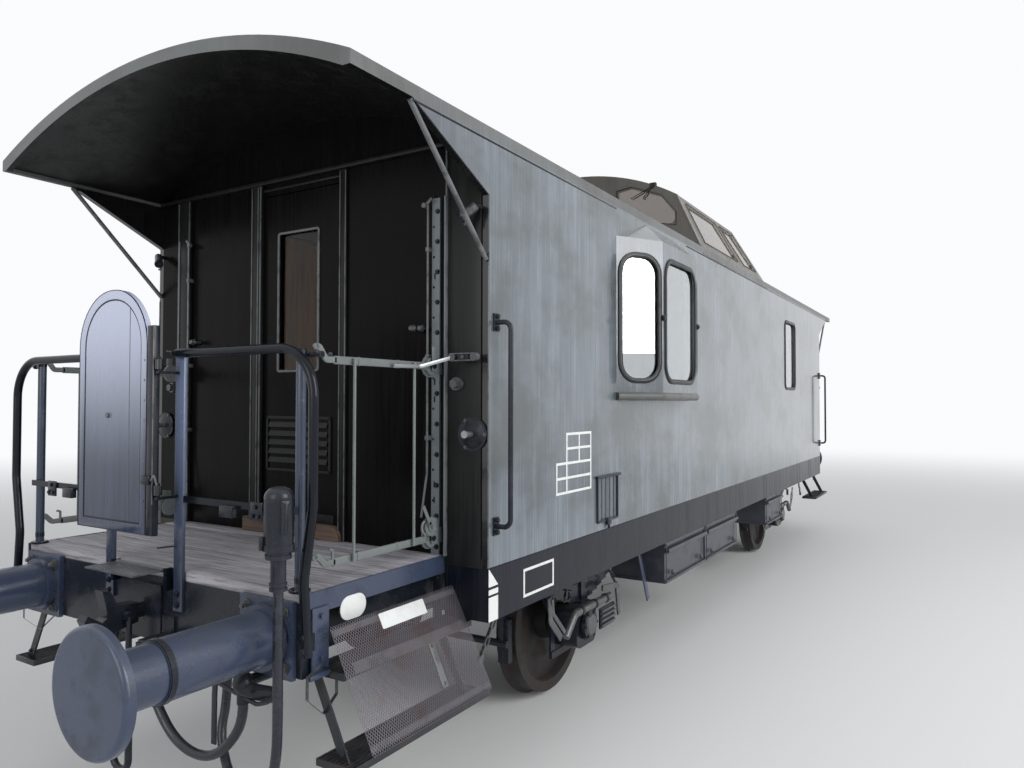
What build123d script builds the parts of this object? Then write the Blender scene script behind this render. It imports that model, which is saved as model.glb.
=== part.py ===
from build123d import *
import os
from math import pi, radians, sqrt, tan

# Two-axle baggage and guard's van: steel body, an open platform at each end under the roof,
# a lookout bay on each side and a raised lookout cupola on the roof.
# Frame: millimetres, +X along the van, the photographed side at -Y, +Z up, z = 0 at the flange tips.

os.makedirs("parts", exist_ok=True)

# Driving dimensions: length
LENGTH_OVER_BUFFERS = 12720
BUFFER_LENGTH = 770
PLATFORM_LENGTH = 953
ROOF_OVERHANG = 40
WHEELBASE = 6000

# Driving dimensions: heights above the rail
FLANGE_HEIGHT = 28
FLOOR_HEIGHT = 1253
SKIRT_TOP_HEIGHT = 1213
SKIRT_BOTTOM_HEIGHT = 946
SKIRT_RETURN = 10
WING_FOOT_HEIGHT = 3076
EAVE_HEIGHT = 3360
ROOF_EDGE_DEPTH = 60
ROOF_RISE = 290
ROOF_HOOP_LENGTH = 30
BUFFER_HEIGHT = 1060

# Driving dimensions: body
BODY_WIDTH = 2700
WALL = 40
ROOF_SKIN = 40
FLOOR_THICKNESS = 45
WING_REACH = 608
DOOR_WIDTH = 650
DOOR_TOP_HEIGHT = 3285
DOOR_GAP = 6
DOOR_THICKNESS = 40
DOOR_WINDOW_WIDTH = 325
DOOR_WINDOW_DROP = 240
DOOR_WINDOW_HEIGHT = 820
DOOR_WINDOW_CORNER = 20
DOOR_HINGE_STANDOFF = 16
DOOR_HINGE_HEIGHTS = (1550, 2300, 3050)
DOOR_HINGE_LENGTH = 90
DOOR_PIN = 5
DOOR_KNUCKLE = 10
GLASS = 6

# Lookout bay, far window and cupola
BAY_CENTRE_X = -2350
BAY_BASE_HALF = 722
BAY_FACE_HALF = 374
BAY_PROJECTION = 200
BAY_SKIN = 30
BAY_DROP = 15
BAY_HEIGHT = 1285
BAY_CAP_DROP = 180
BAY_CAP_HALF = 200
BAY_FOOT_RADIUS = 45
PANE_DROP = 299
PANE_SILL = 130
PANE_CORNER = 90
BAY_FACE_PANE = 644
BAY_FLANK_PANE = 330
SIDE_WINDOW_X = 2500
SIDE_WINDOW_WIDTH = 600
SIDE_WINDOW_DROP = 298
SIDE_WINDOW_HEIGHT = 846
SIDE_WINDOW_CORNER = 25
CUPOLA_RISE = 533
CUPOLA_NEAR_X = -1150
CUPOLA_TOP_FAR_X = 705
CUPOLA_FOOT_FAR_X = 1220
CUPOLA_FOOT_HALF = 1330
CUPOLA_TOP_HALF = 1095
CUPOLA_TOP_RISE = 303
CUPOLA_SKIN = 25
CUPOLA_PANE_CORNER = 45
CUPOLA_GLASS_INSET = 10

# Outline of a cupola window: distance from the middle and drop below the cupola's top
CUPOLA_PANE = ((530, 470), (530, 215), (660, 196), (950, 306), (1085, 470), (1085, 580))

# Outlines of the cupola's two side windows: place along the van and drop below the cupola's top
CUPOLA_SIDE_PANES = (
    ((-950, 370), (-50, 370), (200, 720), (-900, 720)),
    ((110, 370), (590, 370), (935, 720), (460, 720)),
)

# Underframe and platform
SOLEBAR_Y = 1000
SOLEBAR_WEB = 12
SOLEBAR_FLANGE = 75
SOLEBAR_DEPTH = 235
CROSS_MEMBER_X = (-4450, -3900, -2000, -1000, 0, 1000, 2000, 3900, 4450)
CROSS_MEMBER_WIDTH = 90
CROSS_MEMBER_DEPTH = 160
HEADSTOCK_THICKNESS = 80
HEADSTOCK_DEPTH = 300
HEADSTOCK_SKIN = 14
PLATFORM_WIDTH = 2160
PLATFORM_BOARDS = 6
BOARD_GAP = 4
EDGE_THICKNESS = 10
EDGE_DEPTH = 90
STEP_RISE = 335
STEP_TREAD = 200
STEP_TREAD_THICKNESS = 30
STEP_OUT = 110
STEP_SIDE_THICKNESS = 10
STEP_SIDE_WIDTH = 50
STEP_SIDE_INSET = (90, 30)
STEP_START = (115, 50)
STEP_UNDER_BODY = 85
SCREEN_TOP = (-1130, 1135)
SCREEN_FOOT = (-1375, 660)
SCREEN_LENGTH = 860
SCREEN_END_GAP = 90
SCREEN_THICKNESS = 5

# Railings, gates and gangway
RAIL_TOP_HEIGHT = 2260
RAIL_TUBE = 42
RAIL_WELD = 2
RAIL_OUTER_Y = 1157
RAIL_POST_Y = 272
RAIL_POST_WIDTH = 60
RAIL_POST_THICKNESS = 12
RAIL_BEND = 200
RAIL_KNEE_HEIGHT = 1617
RAIL_KNEE_DROP = 300
RAIL_KNEE_SHIFT = 50
RAIL_FOOT_HEIGHT = 1020
GATE_POST = 40
GATE_POST_X = 5560
GATE_POST_Y = 1020
LOWER_BAR_HEIGHT = 1590
GATE_PIVOT_OUT = 106
GATE_PLATE_Y = 1055
GATE_RAIL_HEIGHT = 3100
GATE_BAR_THICKNESS = 10
GATE_BAR_HEIGHT = 36
GATE_TOP_HEIGHT = 2218
GATE_BOTTOM_HEIGHT = 1355
GATE_REACH = 800
GATE_ROD_REACH = (157, 572)
GATE_ROD = 14
GATE_PIN = 16
GATE_ROD_PIN = 10
PIN_CLEARANCE = 0.4
GATE_SIDE_GAP = 6
LEAF_WIDTH = 555
LEAF_LOW_HEIGHT = 1430
LEAF_HIGH_HEIGHT = 2570
LEAF_THICKNESS = 24
LEAF_STANDOFF = 110
LEAF_CORNER = 270
LEAF_STILE_WIDTH = 50
LEAF_STILE_HEIGHT = 2385
BRIDGE_WIDTH = 380
BRIDGE_REACH = 160
BRIDGE_THICKNESS = 8

# Running gear
WHEEL_DIAMETER = 1000
BACK_TO_BACK = 1360
TYRE_WIDTH = 135
TYRE_DEPTH = 70
AXLE_DIAMETER = 160
JOURNAL_DIAMETER = 120
JOURNAL_CENTRES = 2000
JOURNAL_CLEARANCE = 0.5
AXLEBOX_LENGTH = 180
AXLEBOX_WIDTH = 300
AXLEBOX_HEIGHT = 290
SPRING_LEAVES = 8
LEAF_STEP = 15
SPRING_WIDTH = 120
SPRING_LENGTH = 1400
SPRING_CAMBER = 110

# Buffers and drawgear
BUFFER_SPACING = 1750
BUFFER_SLEEVE = 230
BUFFER_PLUNGER = 218
BUFFER_HEAD = 450
BUFFER_HEAD_THICKNESS = 40
BUFFER_SLEEVE_LENGTH = 513
BUFFER_PLATE = 320
BUFFER_PLATE_THICKNESS = 22

# Worked-out places, in millimetres above z = 0 and from the middle
HEADSTOCK_X = LENGTH_OVER_BUFFERS / 2 - BUFFER_LENGTH
ROOF_END_X = HEADSTOCK_X + ROOF_OVERHANG
BODY_X = HEADSTOCK_X - PLATFORM_LENGTH
BODY_Y = BODY_WIDTH / 2
PLATFORM_Y = PLATFORM_WIDTH / 2
FLOOR_Z = FLANGE_HEIGHT + FLOOR_HEIGHT
UNDER_FLOOR_Z = FLOOR_Z - FLOOR_THICKNESS
EAVE_Z = FLANGE_HEIGHT + EAVE_HEIGHT
ROOF_EDGE_Z = EAVE_Z + ROOF_EDGE_DEPTH
RIDGE_Z = ROOF_EDGE_Z + ROOF_RISE
CUPOLA_TOP_Z = RIDGE_Z + CUPOLA_RISE
BAY_HIGH_Z = EAVE_Z - BAY_DROP
BAY_LOW_Z = BAY_HIGH_Z - BAY_HEIGHT
PANE_HIGH_Z = BAY_HIGH_Z - PANE_DROP
PANE_LOW_Z = BAY_LOW_Z + PANE_SILL
DOOR_TOP_Z = FLANGE_HEIGHT + DOOR_TOP_HEIGHT
DOOR_WINDOW_Z = DOOR_TOP_Z - DOOR_WINDOW_DROP - DOOR_WINDOW_HEIGHT / 2
SIDE_WINDOW_Z = EAVE_Z - SIDE_WINDOW_DROP - SIDE_WINDOW_HEIGHT / 2
GATE_PIVOT_X = BODY_X + GATE_PIVOT_OUT
BUFFER_Z = FLANGE_HEIGHT + BUFFER_HEIGHT
AXLE_Z = FLANGE_HEIGHT + WHEEL_DIAMETER / 2
AXLE_X = WHEELBASE / 2
JOURNAL_Y = JOURNAL_CENTRES / 2
SKIRT_TOP_Z = FLANGE_HEIGHT + SKIRT_TOP_HEIGHT
SKIRT_BOTTOM_Z = FLANGE_HEIGHT + SKIRT_BOTTOM_HEIGHT
SOLEBAR_Z = UNDER_FLOOR_Z - SOLEBAR_DEPTH


def block(x0, x1, y0, y1, z0, z1):
    """A box between two corners."""
    return Pos((x0 + x1) / 2, (y0 + y1) / 2, (z0 + z1) / 2) * Box(abs(x1 - x0), abs(y1 - y0), abs(z1 - z0))


def rod_x(radius, x0, x1, y, z):
    """A round bar along X."""
    return Pos((x0 + x1) / 2, y, z) * Rot(0, 90, 0) * Cylinder(radius, abs(x1 - x0))


def rod_y(radius, y0, y1, x, z):
    """A round bar along Y."""
    return Pos(x, (y0 + y1) / 2, z) * Rot(90, 0, 0) * Cylinder(radius, abs(y1 - y0))


def rod_z(radius, z0, z1, x, y):
    """A round bar along Z."""
    return Pos(x, y, (z0 + z1) / 2) * Cylinder(radius, abs(z1 - z0))


def plate_xz(outline, y0, y1):
    """An outline of (x, z) points between two planes across Y."""
    low, high = sorted((y0, y1))
    return extrude(Plane.XZ.offset(-high) * make_face(Polyline(outline, close=True)), high - low)


def plate_yz(outline, x0, x1):
    """An outline of (y, z) points between two planes across X."""
    low, high = sorted((x0, x1))
    return extrude(Plane.YZ.offset(low) * make_face(Polyline(outline, close=True)), high - low)


def plate_xy(outline, z0, z1):
    """An outline of (x, y) points between two heights."""
    return extrude(Plane.XY.offset(z0) * make_face(Polyline(outline, close=True)), z1 - z0)


def tube(points, radii, radius):
    """A round bar along straight runs joined by tangent arcs."""
    path = FilletPolyline(*points, radius=radii)
    start = Plane(origin=path @ 0, z_dir=path % 0)
    return sweep(start * Circle(radius), path=path)


def flip_x(shape):
    """The same piece at the other end."""
    return mirror(shape, Plane.YZ)


def flip_y(shape):
    """The same piece on the other side."""
    return mirror(shape, Plane.XZ)


def both_sides(shape):
    return [shape, flip_y(shape)]


def four_corners(shape):
    return both_sides(shape) + both_sides(flip_x(shape))


def turned(shape):
    """The same piece at the far end, turned half round."""
    return Rot(0, 0, 180) * shape


def save(name, *pieces):
    """Writes one node, as the solids of its pieces."""
    solids = [solid for piece in pieces for solid in piece.solids()]
    body = Compound(solids) if len(solids) > 1 else solids[0]
    export_step(body, f"parts/{name}.step")


# Cross-section of the roof
def arch(half, edge_z, rise):
    """The arc across the van through both edges and the middle."""
    return ThreePointArc((-half, edge_z), (0, edge_z + rise), (half, edge_z))


def roof_section():
    inner = BODY_Y - WALL
    outside = arch(BODY_Y, ROOF_EDGE_Z, ROOF_RISE)
    inside = arch(inner, ROOF_EDGE_Z - ROOF_SKIN, ROOF_RISE)
    edges = [
        outside,
        Line((BODY_Y, ROOF_EDGE_Z), (BODY_Y, EAVE_Z)),
        Line((BODY_Y, EAVE_Z), (inner, EAVE_Z)),
        Line((inner, EAVE_Z), (inner, ROOF_EDGE_Z - ROOF_SKIN)),
        inside,
        Line((-inner, ROOF_EDGE_Z - ROOF_SKIN), (-inner, EAVE_Z)),
        Line((-inner, EAVE_Z), (-BODY_Y, EAVE_Z)),
        Line((-BODY_Y, EAVE_Z), (-BODY_Y, ROOF_EDGE_Z)),
    ]
    return make_face(edges)


def cupola_block(shrink, foot_z):
    """The outer form of the cupola, drawn in by a wall thickness."""
    top_z = CUPOLA_TOP_Z - shrink
    shoulder_z = top_z - CUPOLA_TOP_RISE
    foot_ref_z = ROOF_EDGE_Z
    lean = (CUPOLA_FOOT_HALF - CUPOLA_TOP_HALF) / (shoulder_z + shrink - foot_ref_z)
    foot = CUPOLA_TOP_HALF - shrink + lean * (shoulder_z + shrink - foot_z)
    top = CUPOLA_TOP_HALF - shrink
    section = make_face([
        arch(top, shoulder_z, CUPOLA_TOP_RISE),
        Line((top, shoulder_z), (foot, foot_z)),
        Line((foot, foot_z), (-foot, foot_z)),
        Line((-foot, foot_z), (-top, shoulder_z)),
    ])
    near = CUPOLA_NEAR_X + shrink
    far = CUPOLA_FOOT_FAR_X + 200
    body = extrude(Plane.YZ.offset(near) * section, far - near)
    slope = (CUPOLA_FOOT_FAR_X - CUPOLA_TOP_FAR_X) / (shoulder_z + shrink - foot_ref_z)
    low_z = foot_z - 50
    high_z = top_z + 50
    low_x = CUPOLA_FOOT_FAR_X - shrink + slope * (foot_ref_z - low_z)
    high_x = CUPOLA_FOOT_FAR_X - shrink + slope * (foot_ref_z - high_z)
    reach = CUPOLA_FOOT_HALF + 100
    beyond = far + 400
    cut = plate_xz([(low_x, low_z), (high_x, high_z), (beyond, high_z), (beyond, low_z)], -reach, reach)
    return body - cut


def under_roof():
    """Everything inside the roof's outer arch, from the eaves up."""
    face = make_face([
        arch(BODY_Y, ROOF_EDGE_Z, ROOF_RISE),
        Line((BODY_Y, ROOF_EDGE_Z), (BODY_Y, EAVE_Z)),
        Line((BODY_Y, EAVE_Z), (-BODY_Y, EAVE_Z)),
        Line((-BODY_Y, EAVE_Z), (-BODY_Y, ROOF_EDGE_Z)),
    ])
    return extrude(Plane.YZ.offset(-ROOF_END_X) * face, 2 * ROOF_END_X)


def roof_hoop():
    """The rim that deepens the roof's near end to the depth of its side edges."""
    inner = BODY_Y - WALL
    high = ROOF_EDGE_Z - ROOF_SKIN
    face = make_face([
        arch(inner, high, ROOF_RISE),
        Line((inner, high), (inner, EAVE_Z)),
        arch(inner, EAVE_Z, ROOF_RISE),
        Line((-inner, EAVE_Z), (-inner, high)),
    ])
    return extrude(Plane.YZ.offset(-ROOF_END_X) * face, ROOF_HOOP_LENGTH)


def build_roof():
    """The arched roof with the cupola's well, and the cupola that stands on it."""
    shell = extrude(Plane.YZ.offset(-ROOF_END_X) * roof_section(), 2 * ROOF_END_X)
    hoop = roof_hoop()
    shell = shell + hoop + flip_x(hoop)
    inside = cupola_block(CUPOLA_SKIN, EAVE_Z)
    cupola = cupola_block(0, EAVE_Z) - inside - under_roof()
    return shell - inside, cupola


def cupola_pane(depth):
    """The left window of the cupola's near face, as a block that straddles the wall."""
    outline = [(-y, CUPOLA_TOP_Z - drop) for y, drop in CUPOLA_PANE]
    middle = CUPOLA_NEAR_X + CUPOLA_SKIN / 2
    pane = plate_yz(outline, middle - depth / 2, middle + depth / 2)
    return fillet(pane.edges().filter_by(Axis.X), CUPOLA_PANE_CORNER)


def cupola_side_panes():
    """Blocks for the two windows in the cupola's left side, and the panes that fill them."""
    outside = cupola_block(CUPOLA_GLASS_INSET, EAVE_Z)
    sheet = outside - cupola_block(CUPOLA_GLASS_INSET + GLASS, EAVE_Z)
    openings = []
    for outline in CUPOLA_SIDE_PANES:
        points = [(x, CUPOLA_TOP_Z - drop) for x, drop in outline]
        opening = plate_xz(points, -CUPOLA_FOOT_HALF - 50, -CUPOLA_TOP_HALF + 100)
        openings.append(fillet(opening.edges().filter_by(Axis.Y), CUPOLA_PANE_CORNER))
    return openings, [opening & sheet for opening in openings]


def pane_block(plane, width, height, corner, depth):
    """A rounded window block centred on a plane, straddling it."""
    face = plane.offset(-depth / 2) * RectangleRounded(width, height, corner)
    return extrude(face, depth)


# Places of the window panes on the left bay, as planes facing outward
def bay_corners(inset):
    """The bay's plan outline on the -Y side, drawn in by a wall thickness."""
    base = BAY_BASE_HALF
    face = BAY_FACE_HALF
    slope = sqrt((base - face) ** 2 + BAY_PROJECTION ** 2)
    shift = inset * (slope - (base - face)) / BAY_PROJECTION
    run_in = inset * slope / BAY_PROJECTION
    outer = -(BODY_Y + BAY_PROJECTION - inset)
    return [
        (BAY_CENTRE_X - base + run_in, -BODY_Y),
        (BAY_CENTRE_X - face + shift, outer),
        (BAY_CENTRE_X + face - shift, outer),
        (BAY_CENTRE_X + base - run_in, -BODY_Y),
    ]


def bay_panes():
    """Planes and widths of the three windows of the left bay."""
    low_near, out_near, out_far, low_far = bay_corners(0)
    middle_z = (PANE_LOW_Z + PANE_HIGH_Z) / 2
    near = ((low_near[0] + out_near[0]) / 2, (low_near[1] + out_near[1]) / 2)
    far = ((low_far[0] + out_far[0]) / 2, (low_far[1] + out_far[1]) / 2)
    flank_x = BAY_BASE_HALF - BAY_FACE_HALF
    return [
        (Plane((near[0], near[1], middle_z), x_dir=(flank_x, -BAY_PROJECTION, 0),
               z_dir=(-BAY_PROJECTION, -flank_x, 0)), BAY_FLANK_PANE),
        (Plane((BAY_CENTRE_X, out_near[1], middle_z), x_dir=(1, 0, 0), z_dir=(0, -1, 0)), BAY_FACE_PANE),
        (Plane((far[0], far[1], middle_z), x_dir=(flank_x, BAY_PROJECTION, 0),
               z_dir=(BAY_PROJECTION, -flank_x, 0)), BAY_FLANK_PANE),
    ]


def bay_levels(inset):
    """Heights of the bay's foot, shoulder and top, drawn in by a wall thickness."""
    return BAY_LOW_Z + inset, BAY_HIGH_Z - BAY_CAP_DROP - inset / 2, BAY_HIGH_Z - inset


def plane_through(first, second, third):
    """The plane through three points, facing the side they turn left on."""
    origin = Vector(first)
    along = Vector(second) - origin
    return Plane(origin, x_dir=along, z_dir=along.cross(Vector(third) - origin))


def bay_form(inset):
    """The bay under a cap that slopes back to the side wall, drawn in by a wall thickness."""
    corners = bay_corners(inset)
    low, shoulder, high = bay_levels(inset)
    wall_near, out_near, out_far, wall_far = [(x, y, shoulder) for x, y in corners]
    half = BAY_CAP_HALF - inset
    top_near = (BAY_CENTRE_X - half, -BODY_Y, high)
    top_far = (BAY_CENTRE_X + half, -BODY_Y, high)
    form = plate_xy(corners, low, high)
    slopes = ((wall_near, out_near, top_near), (out_near, out_far, top_near), (out_far, wall_far, top_far))
    for points in slopes:
        form = split(form, bisect_by=plane_through(*points), keep=Keep.BOTTOM)
    return form


def bay_opening():
    """The outline of the side wall's opening behind the bay."""
    near, _, _, far = bay_corners(BAY_SKIN)
    low, shoulder, high = bay_levels(BAY_SKIN)
    half = BAY_CAP_HALF - BAY_SKIN
    return [
        (near[0], low), (near[0], shoulder), (BAY_CENTRE_X - half, high),
        (BAY_CENTRE_X + half, high), (far[0], shoulder), (far[0], low),
    ]


def build_bay():
    outer = bay_form(0)
    foot = outer.faces().sort_by(Axis.Z)[0].edges()
    outer = fillet([edge for edge in foot if edge.center().Y < -BODY_Y - 1], BAY_FOOT_RADIUS)
    bay = outer - bay_form(BAY_SKIN)
    panes = []
    height = PANE_HIGH_Z - PANE_LOW_Z
    for plane, width in bay_panes():
        bay = bay - pane_block(plane, width, height, PANE_CORNER, 4 * BAY_SKIN)
        panes.append(pane_block(plane.offset(-BAY_SKIN / 2), width, height, PANE_CORNER, GLASS))
    return bay, panes


def side_outline():
    """The side wall with the wings that reach out under the roof."""
    wing_foot = FLANGE_HEIGHT + WING_FOOT_HEIGHT
    return [
        (-BODY_X, SKIRT_TOP_Z), (BODY_X, SKIRT_TOP_Z), (BODY_X, wing_foot),
        (BODY_X + WING_REACH, EAVE_Z), (-BODY_X - WING_REACH, EAVE_Z), (-BODY_X, wing_foot),
    ]


def build_side():
    """The left side wall, cut for the bay and the far window."""
    wall = plate_xz(side_outline(), -BODY_Y, -BODY_Y + WALL)
    wall = wall - plate_xz(bay_opening(), -BODY_Y - 1, -BODY_Y + WALL + 1)
    plane = Plane((SIDE_WINDOW_X, -BODY_Y + WALL / 2, SIDE_WINDOW_Z), x_dir=(1, 0, 0), z_dir=(0, -1, 0))
    wall = wall - pane_block(plane, SIDE_WINDOW_WIDTH, SIDE_WINDOW_HEIGHT, SIDE_WINDOW_CORNER, 2 * WALL)
    pane = pane_block(plane, SIDE_WINDOW_WIDTH, SIDE_WINDOW_HEIGHT, SIDE_WINDOW_CORNER, GLASS)
    return wall, pane


def end_wall():
    """The near bulkhead under the roof arch, cut for its door."""
    inner = BODY_Y - WALL
    low = FLOOR_Z
    spring = ROOF_EDGE_Z - ROOF_SKIN
    face = make_face([
        arch(inner, spring, ROOF_RISE),
        Line((inner, spring), (inner, low)),
        Line((inner, low), (-inner, low)),
        Line((-inner, low), (-inner, spring)),
    ])
    wall = extrude(Plane.YZ.offset(-BODY_X) * face, WALL)
    half = DOOR_WIDTH / 2 + DOOR_GAP
    wall = wall - block(-BODY_X - 1, -BODY_X + WALL + 1, -half, half, low - 1, DOOR_TOP_Z + DOOR_GAP)
    x, y = door_hinge()
    for height in DOOR_HINGE_HEIGHTS:
        z = FLANGE_HEIGHT + height
        wall = wall + rod_z(DOOR_PIN, z - 14, z + DOOR_HINGE_LENGTH + 8, x, y)
        wall = wall + rod_z(DOOR_KNUCKLE, z - 14, z - 2, x, y)
        wall = wall + block(-BODY_X + WALL, x + DOOR_KNUCKLE, y + 8, y + 40, z - 14, z - 2)
    return wall


def door_hinge():
    """The hinge axis of the near end door, in plan."""
    return -BODY_X + DOOR_THICKNESS + DOOR_HINGE_STANDOFF, DOOR_WIDTH / 2


def end_door():
    """The near end door, hinged inside its +Y edge, and its pane."""
    half = DOOR_WIDTH / 2
    leaf = block(-BODY_X, -BODY_X + DOOR_THICKNESS, -half, half, FLOOR_Z + DOOR_GAP, DOOR_TOP_Z)
    plane = Plane((-BODY_X + DOOR_THICKNESS / 2, 0, DOOR_WINDOW_Z), x_dir=(0, 1, 0), z_dir=(1, 0, 0))
    window = (plane, DOOR_WINDOW_WIDTH, DOOR_WINDOW_HEIGHT, DOOR_WINDOW_CORNER)
    leaf = leaf - pane_block(*window, 2 * DOOR_THICKNESS)
    x, y = door_hinge()
    for height in DOOR_HINGE_HEIGHTS:
        z = FLANGE_HEIGHT + height
        knuckle = rod_z(DOOR_KNUCKLE, z, z + DOOR_HINGE_LENGTH, x, y)
        strap = block(-BODY_X + DOOR_THICKNESS, x, y - 40, y - 4, z, z + DOOR_HINGE_LENGTH)
        bore = rod_z(DOOR_PIN + PIN_CLEARANCE, z - 1, z + DOOR_HINGE_LENGTH + 1, x, y)
        leaf = leaf + knuckle + strap - bore
    return leaf, pane_block(*window, GLASS)


def underframe():
    """Solebars of channel section joined by cross members."""
    end = HEADSTOCK_X - HEADSTOCK_THICKNESS
    outer = SOLEBAR_Y + SOLEBAR_WEB / 2
    inner = SOLEBAR_Y - SOLEBAR_WEB / 2
    foot = inner - SOLEBAR_FLANGE
    bar = block(-end, end, -outer, -inner, SOLEBAR_Z, UNDER_FLOOR_Z)
    bar = bar + block(-end, end, -inner, -foot, SOLEBAR_Z, SOLEBAR_Z + SOLEBAR_WEB)
    bar = bar + block(-end, end, -inner, -foot, UNDER_FLOOR_Z - SOLEBAR_WEB, UNDER_FLOOR_Z)
    frame = bar + flip_y(bar)
    half = CROSS_MEMBER_WIDTH / 2
    low = UNDER_FLOOR_Z - CROSS_MEMBER_DEPTH
    for x in CROSS_MEMBER_X:
        frame = frame + block(x - half, x + half, -inner, inner, low, UNDER_FLOOR_Z)
    for y in (-300, 300):
        frame = frame + block(-end, end, y - 30, y + 30, low, UNDER_FLOOR_Z)
    return frame


def headstock():
    """The near end beam that carries the buffers."""
    inner = HEADSTOCK_X - HEADSTOCK_THICKNESS
    low = UNDER_FLOOR_Z - HEADSTOCK_DEPTH
    half = PLATFORM_Y - EDGE_THICKNESS
    beam = block(-HEADSTOCK_X, -inner, -half, half, low, UNDER_FLOOR_Z)
    skin = HEADSTOCK_SKIN
    front = -HEADSTOCK_X + skin
    hollow = block(front, -inner + 1, skin - half, half - skin, low + skin, UNDER_FLOOR_Z - skin)
    return beam - hollow


def platform_boards():
    """Timber boards laid across the near platform."""
    start = HEADSTOCK_X - 5
    end = BODY_X
    pitch = (start - end + BOARD_GAP) / PLATFORM_BOARDS
    edge = PLATFORM_Y - EDGE_THICKNESS
    boards = []
    for index in range(PLATFORM_BOARDS):
        x = -start + index * pitch
        boards.append(block(x, x + pitch - BOARD_GAP, -edge, edge, UNDER_FLOOR_Z, FLOOR_Z))
    return boards


def platform_edge():
    """The steel edging along the near left platform side and the corner post of the steps."""
    low = FLOOR_Z - EDGE_DEPTH
    angle = block(-HEADSTOCK_X, -BODY_X, -PLATFORM_Y, -PLATFORM_Y + EDGE_THICKNESS, low, FLOOR_Z)
    start = -HEADSTOCK_X + HEADSTOCK_THICKNESS
    inner = -SOLEBAR_Y - SOLEBAR_WEB / 2
    return angle + block(start, -BODY_X, -PLATFORM_Y, inner, low, low + EDGE_THICKNESS)


def steps():
    """Two open treads hung on flat bars under the near left platform edge."""
    edge_z = FLOOR_Z - EDGE_DEPTH
    body = None
    joints = []
    for number, start in enumerate(STEP_START, 1):
        top = FLOOR_Z - number * STEP_RISE
        outer = -(PLATFORM_Y + number * STEP_OUT)
        tread = block(-HEADSTOCK_X + start, -BODY_X + STEP_UNDER_BODY, outer, outer + STEP_TREAD,
                      top - STEP_TREAD_THICKNESS, top)
        body = tread if body is None else body + tread
        joints.append((outer, top - STEP_TREAD_THICKNESS / 2))
    middle, lower = joints
    wide = STEP_SIDE_WIDTH
    inner = -PLATFORM_Y + wide
    foot = lower[0] + wide
    back = -SOLEBAR_Y - SOLEBAR_WEB / 2
    shelf = SOLEBAR_Z + 20
    outline = [
        (-PLATFORM_Y, edge_z), (-PLATFORM_Y, middle[1]), (foot, lower[1]), (foot + wide, lower[1]),
        (inner, middle[1]), (inner, shelf), (back, shelf), (back, shelf + wide), (inner, shelf + wide),
        (inner, edge_z),
    ]
    near, far = STEP_SIDE_INSET
    for x in (-HEADSTOCK_X + near, -BODY_X - far):
        body = body + plate_yz(outline, x, x + STEP_SIDE_THICKNESS)
    return body


def step_screen():
    """The expanded-metal screen that leans over the near left steps."""
    top = (SCREEN_TOP[0], FLANGE_HEIGHT + SCREEN_TOP[1])
    foot = (SCREEN_FOOT[0], FLANGE_HEIGHT + SCREEN_FOOT[1])
    run = sqrt((top[0] - foot[0]) ** 2 + (top[1] - foot[1]) ** 2)
    out = (-(top[1] - foot[1]) / run * SCREEN_THICKNESS, (top[0] - foot[0]) / run * SCREEN_THICKNESS)
    outline = [top, foot, (foot[0] + out[0], foot[1] + out[1]), (top[0] + out[0], top[1] + out[1])]
    start = -HEADSTOCK_X + SCREEN_END_GAP
    return plate_yz(outline, start, start + SCREEN_LENGTH)


def end_railing():
    """The near left railing: bent tube, flat post, lower bar, and round post with the latch pin."""
    x = -HEADSTOCK_X - RAIL_POST_THICKNESS - RAIL_TUBE / 2 + RAIL_WELD
    top = FLANGE_HEIGHT + RAIL_TOP_HEIGHT
    foot = FLANGE_HEIGHT + RAIL_FOOT_HEIGHT
    knee = FLANGE_HEIGHT + RAIL_KNEE_HEIGHT
    inset_y = -RAIL_OUTER_Y + RAIL_KNEE_SHIFT
    points = [
        (x, -RAIL_POST_Y, top), (x, -RAIL_OUTER_Y, top), (x, -RAIL_OUTER_Y, knee),
        (x, inset_y, knee - RAIL_KNEE_DROP), (x, -RAIL_OUTER_Y + RAIL_KNEE_SHIFT / 2, foot),
    ]
    pipe = tube(points, [RAIL_BEND, 160, 160], RAIL_TUBE / 2)
    face = -HEADSTOCK_X
    post = block(face - RAIL_POST_THICKNESS, face, -RAIL_POST_Y - RAIL_POST_WIDTH / 2,
                 -RAIL_POST_Y + RAIL_POST_WIDTH / 2, foot + 60, top + RAIL_TUBE / 2)
    pad = block(x, face, -RAIL_OUTER_Y + 15, -RAIL_OUTER_Y + 45, foot + 20, foot + 90)
    gate_post = rod_z(GATE_POST / 2, FLOOR_Z, top, -GATE_POST_X, -GATE_POST_Y)
    gate_post = gate_post + rod_z(45, FLOOR_Z, FLOOR_Z + 8, -GATE_POST_X, -GATE_POST_Y)
    y0 = -GATE_POST_Y - GATE_POST / 2
    y1 = -GATE_POST_Y + GATE_POST / 2
    gate_post = gate_post + block(x, -GATE_POST_X, y0 + 6, y1 - 6, top - 12, top - 2)
    latch_x = -GATE_PIVOT_X - GATE_REACH - 3
    latch = rod_y(9, gate_bar_band()[0] - 50, -GATE_POST_Y, latch_x, top - 26)
    bar_z = FLANGE_HEIGHT + LOWER_BAR_HEIGHT
    bar = block(face - RAIL_POST_THICKNESS, face, y0 + 10, -RAIL_POST_Y, bar_z - 15, bar_z + 15)
    bar = bar + block(face - 2, -GATE_POST_X, y0 + 10, y1 - 10, bar_z - 15, bar_z + 15)
    return pipe + post + pad + gate_post + latch + bar


LEAF_HINGE_HEIGHTS = (1640, 2210)
LEAF_HINGE_Y = 260


def leaf_hinge():
    """The hinge axis of the near gangway leaf, in plan."""
    return -HEADSTOCK_X - LEAF_STANDOFF, -LEAF_HINGE_Y


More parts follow.
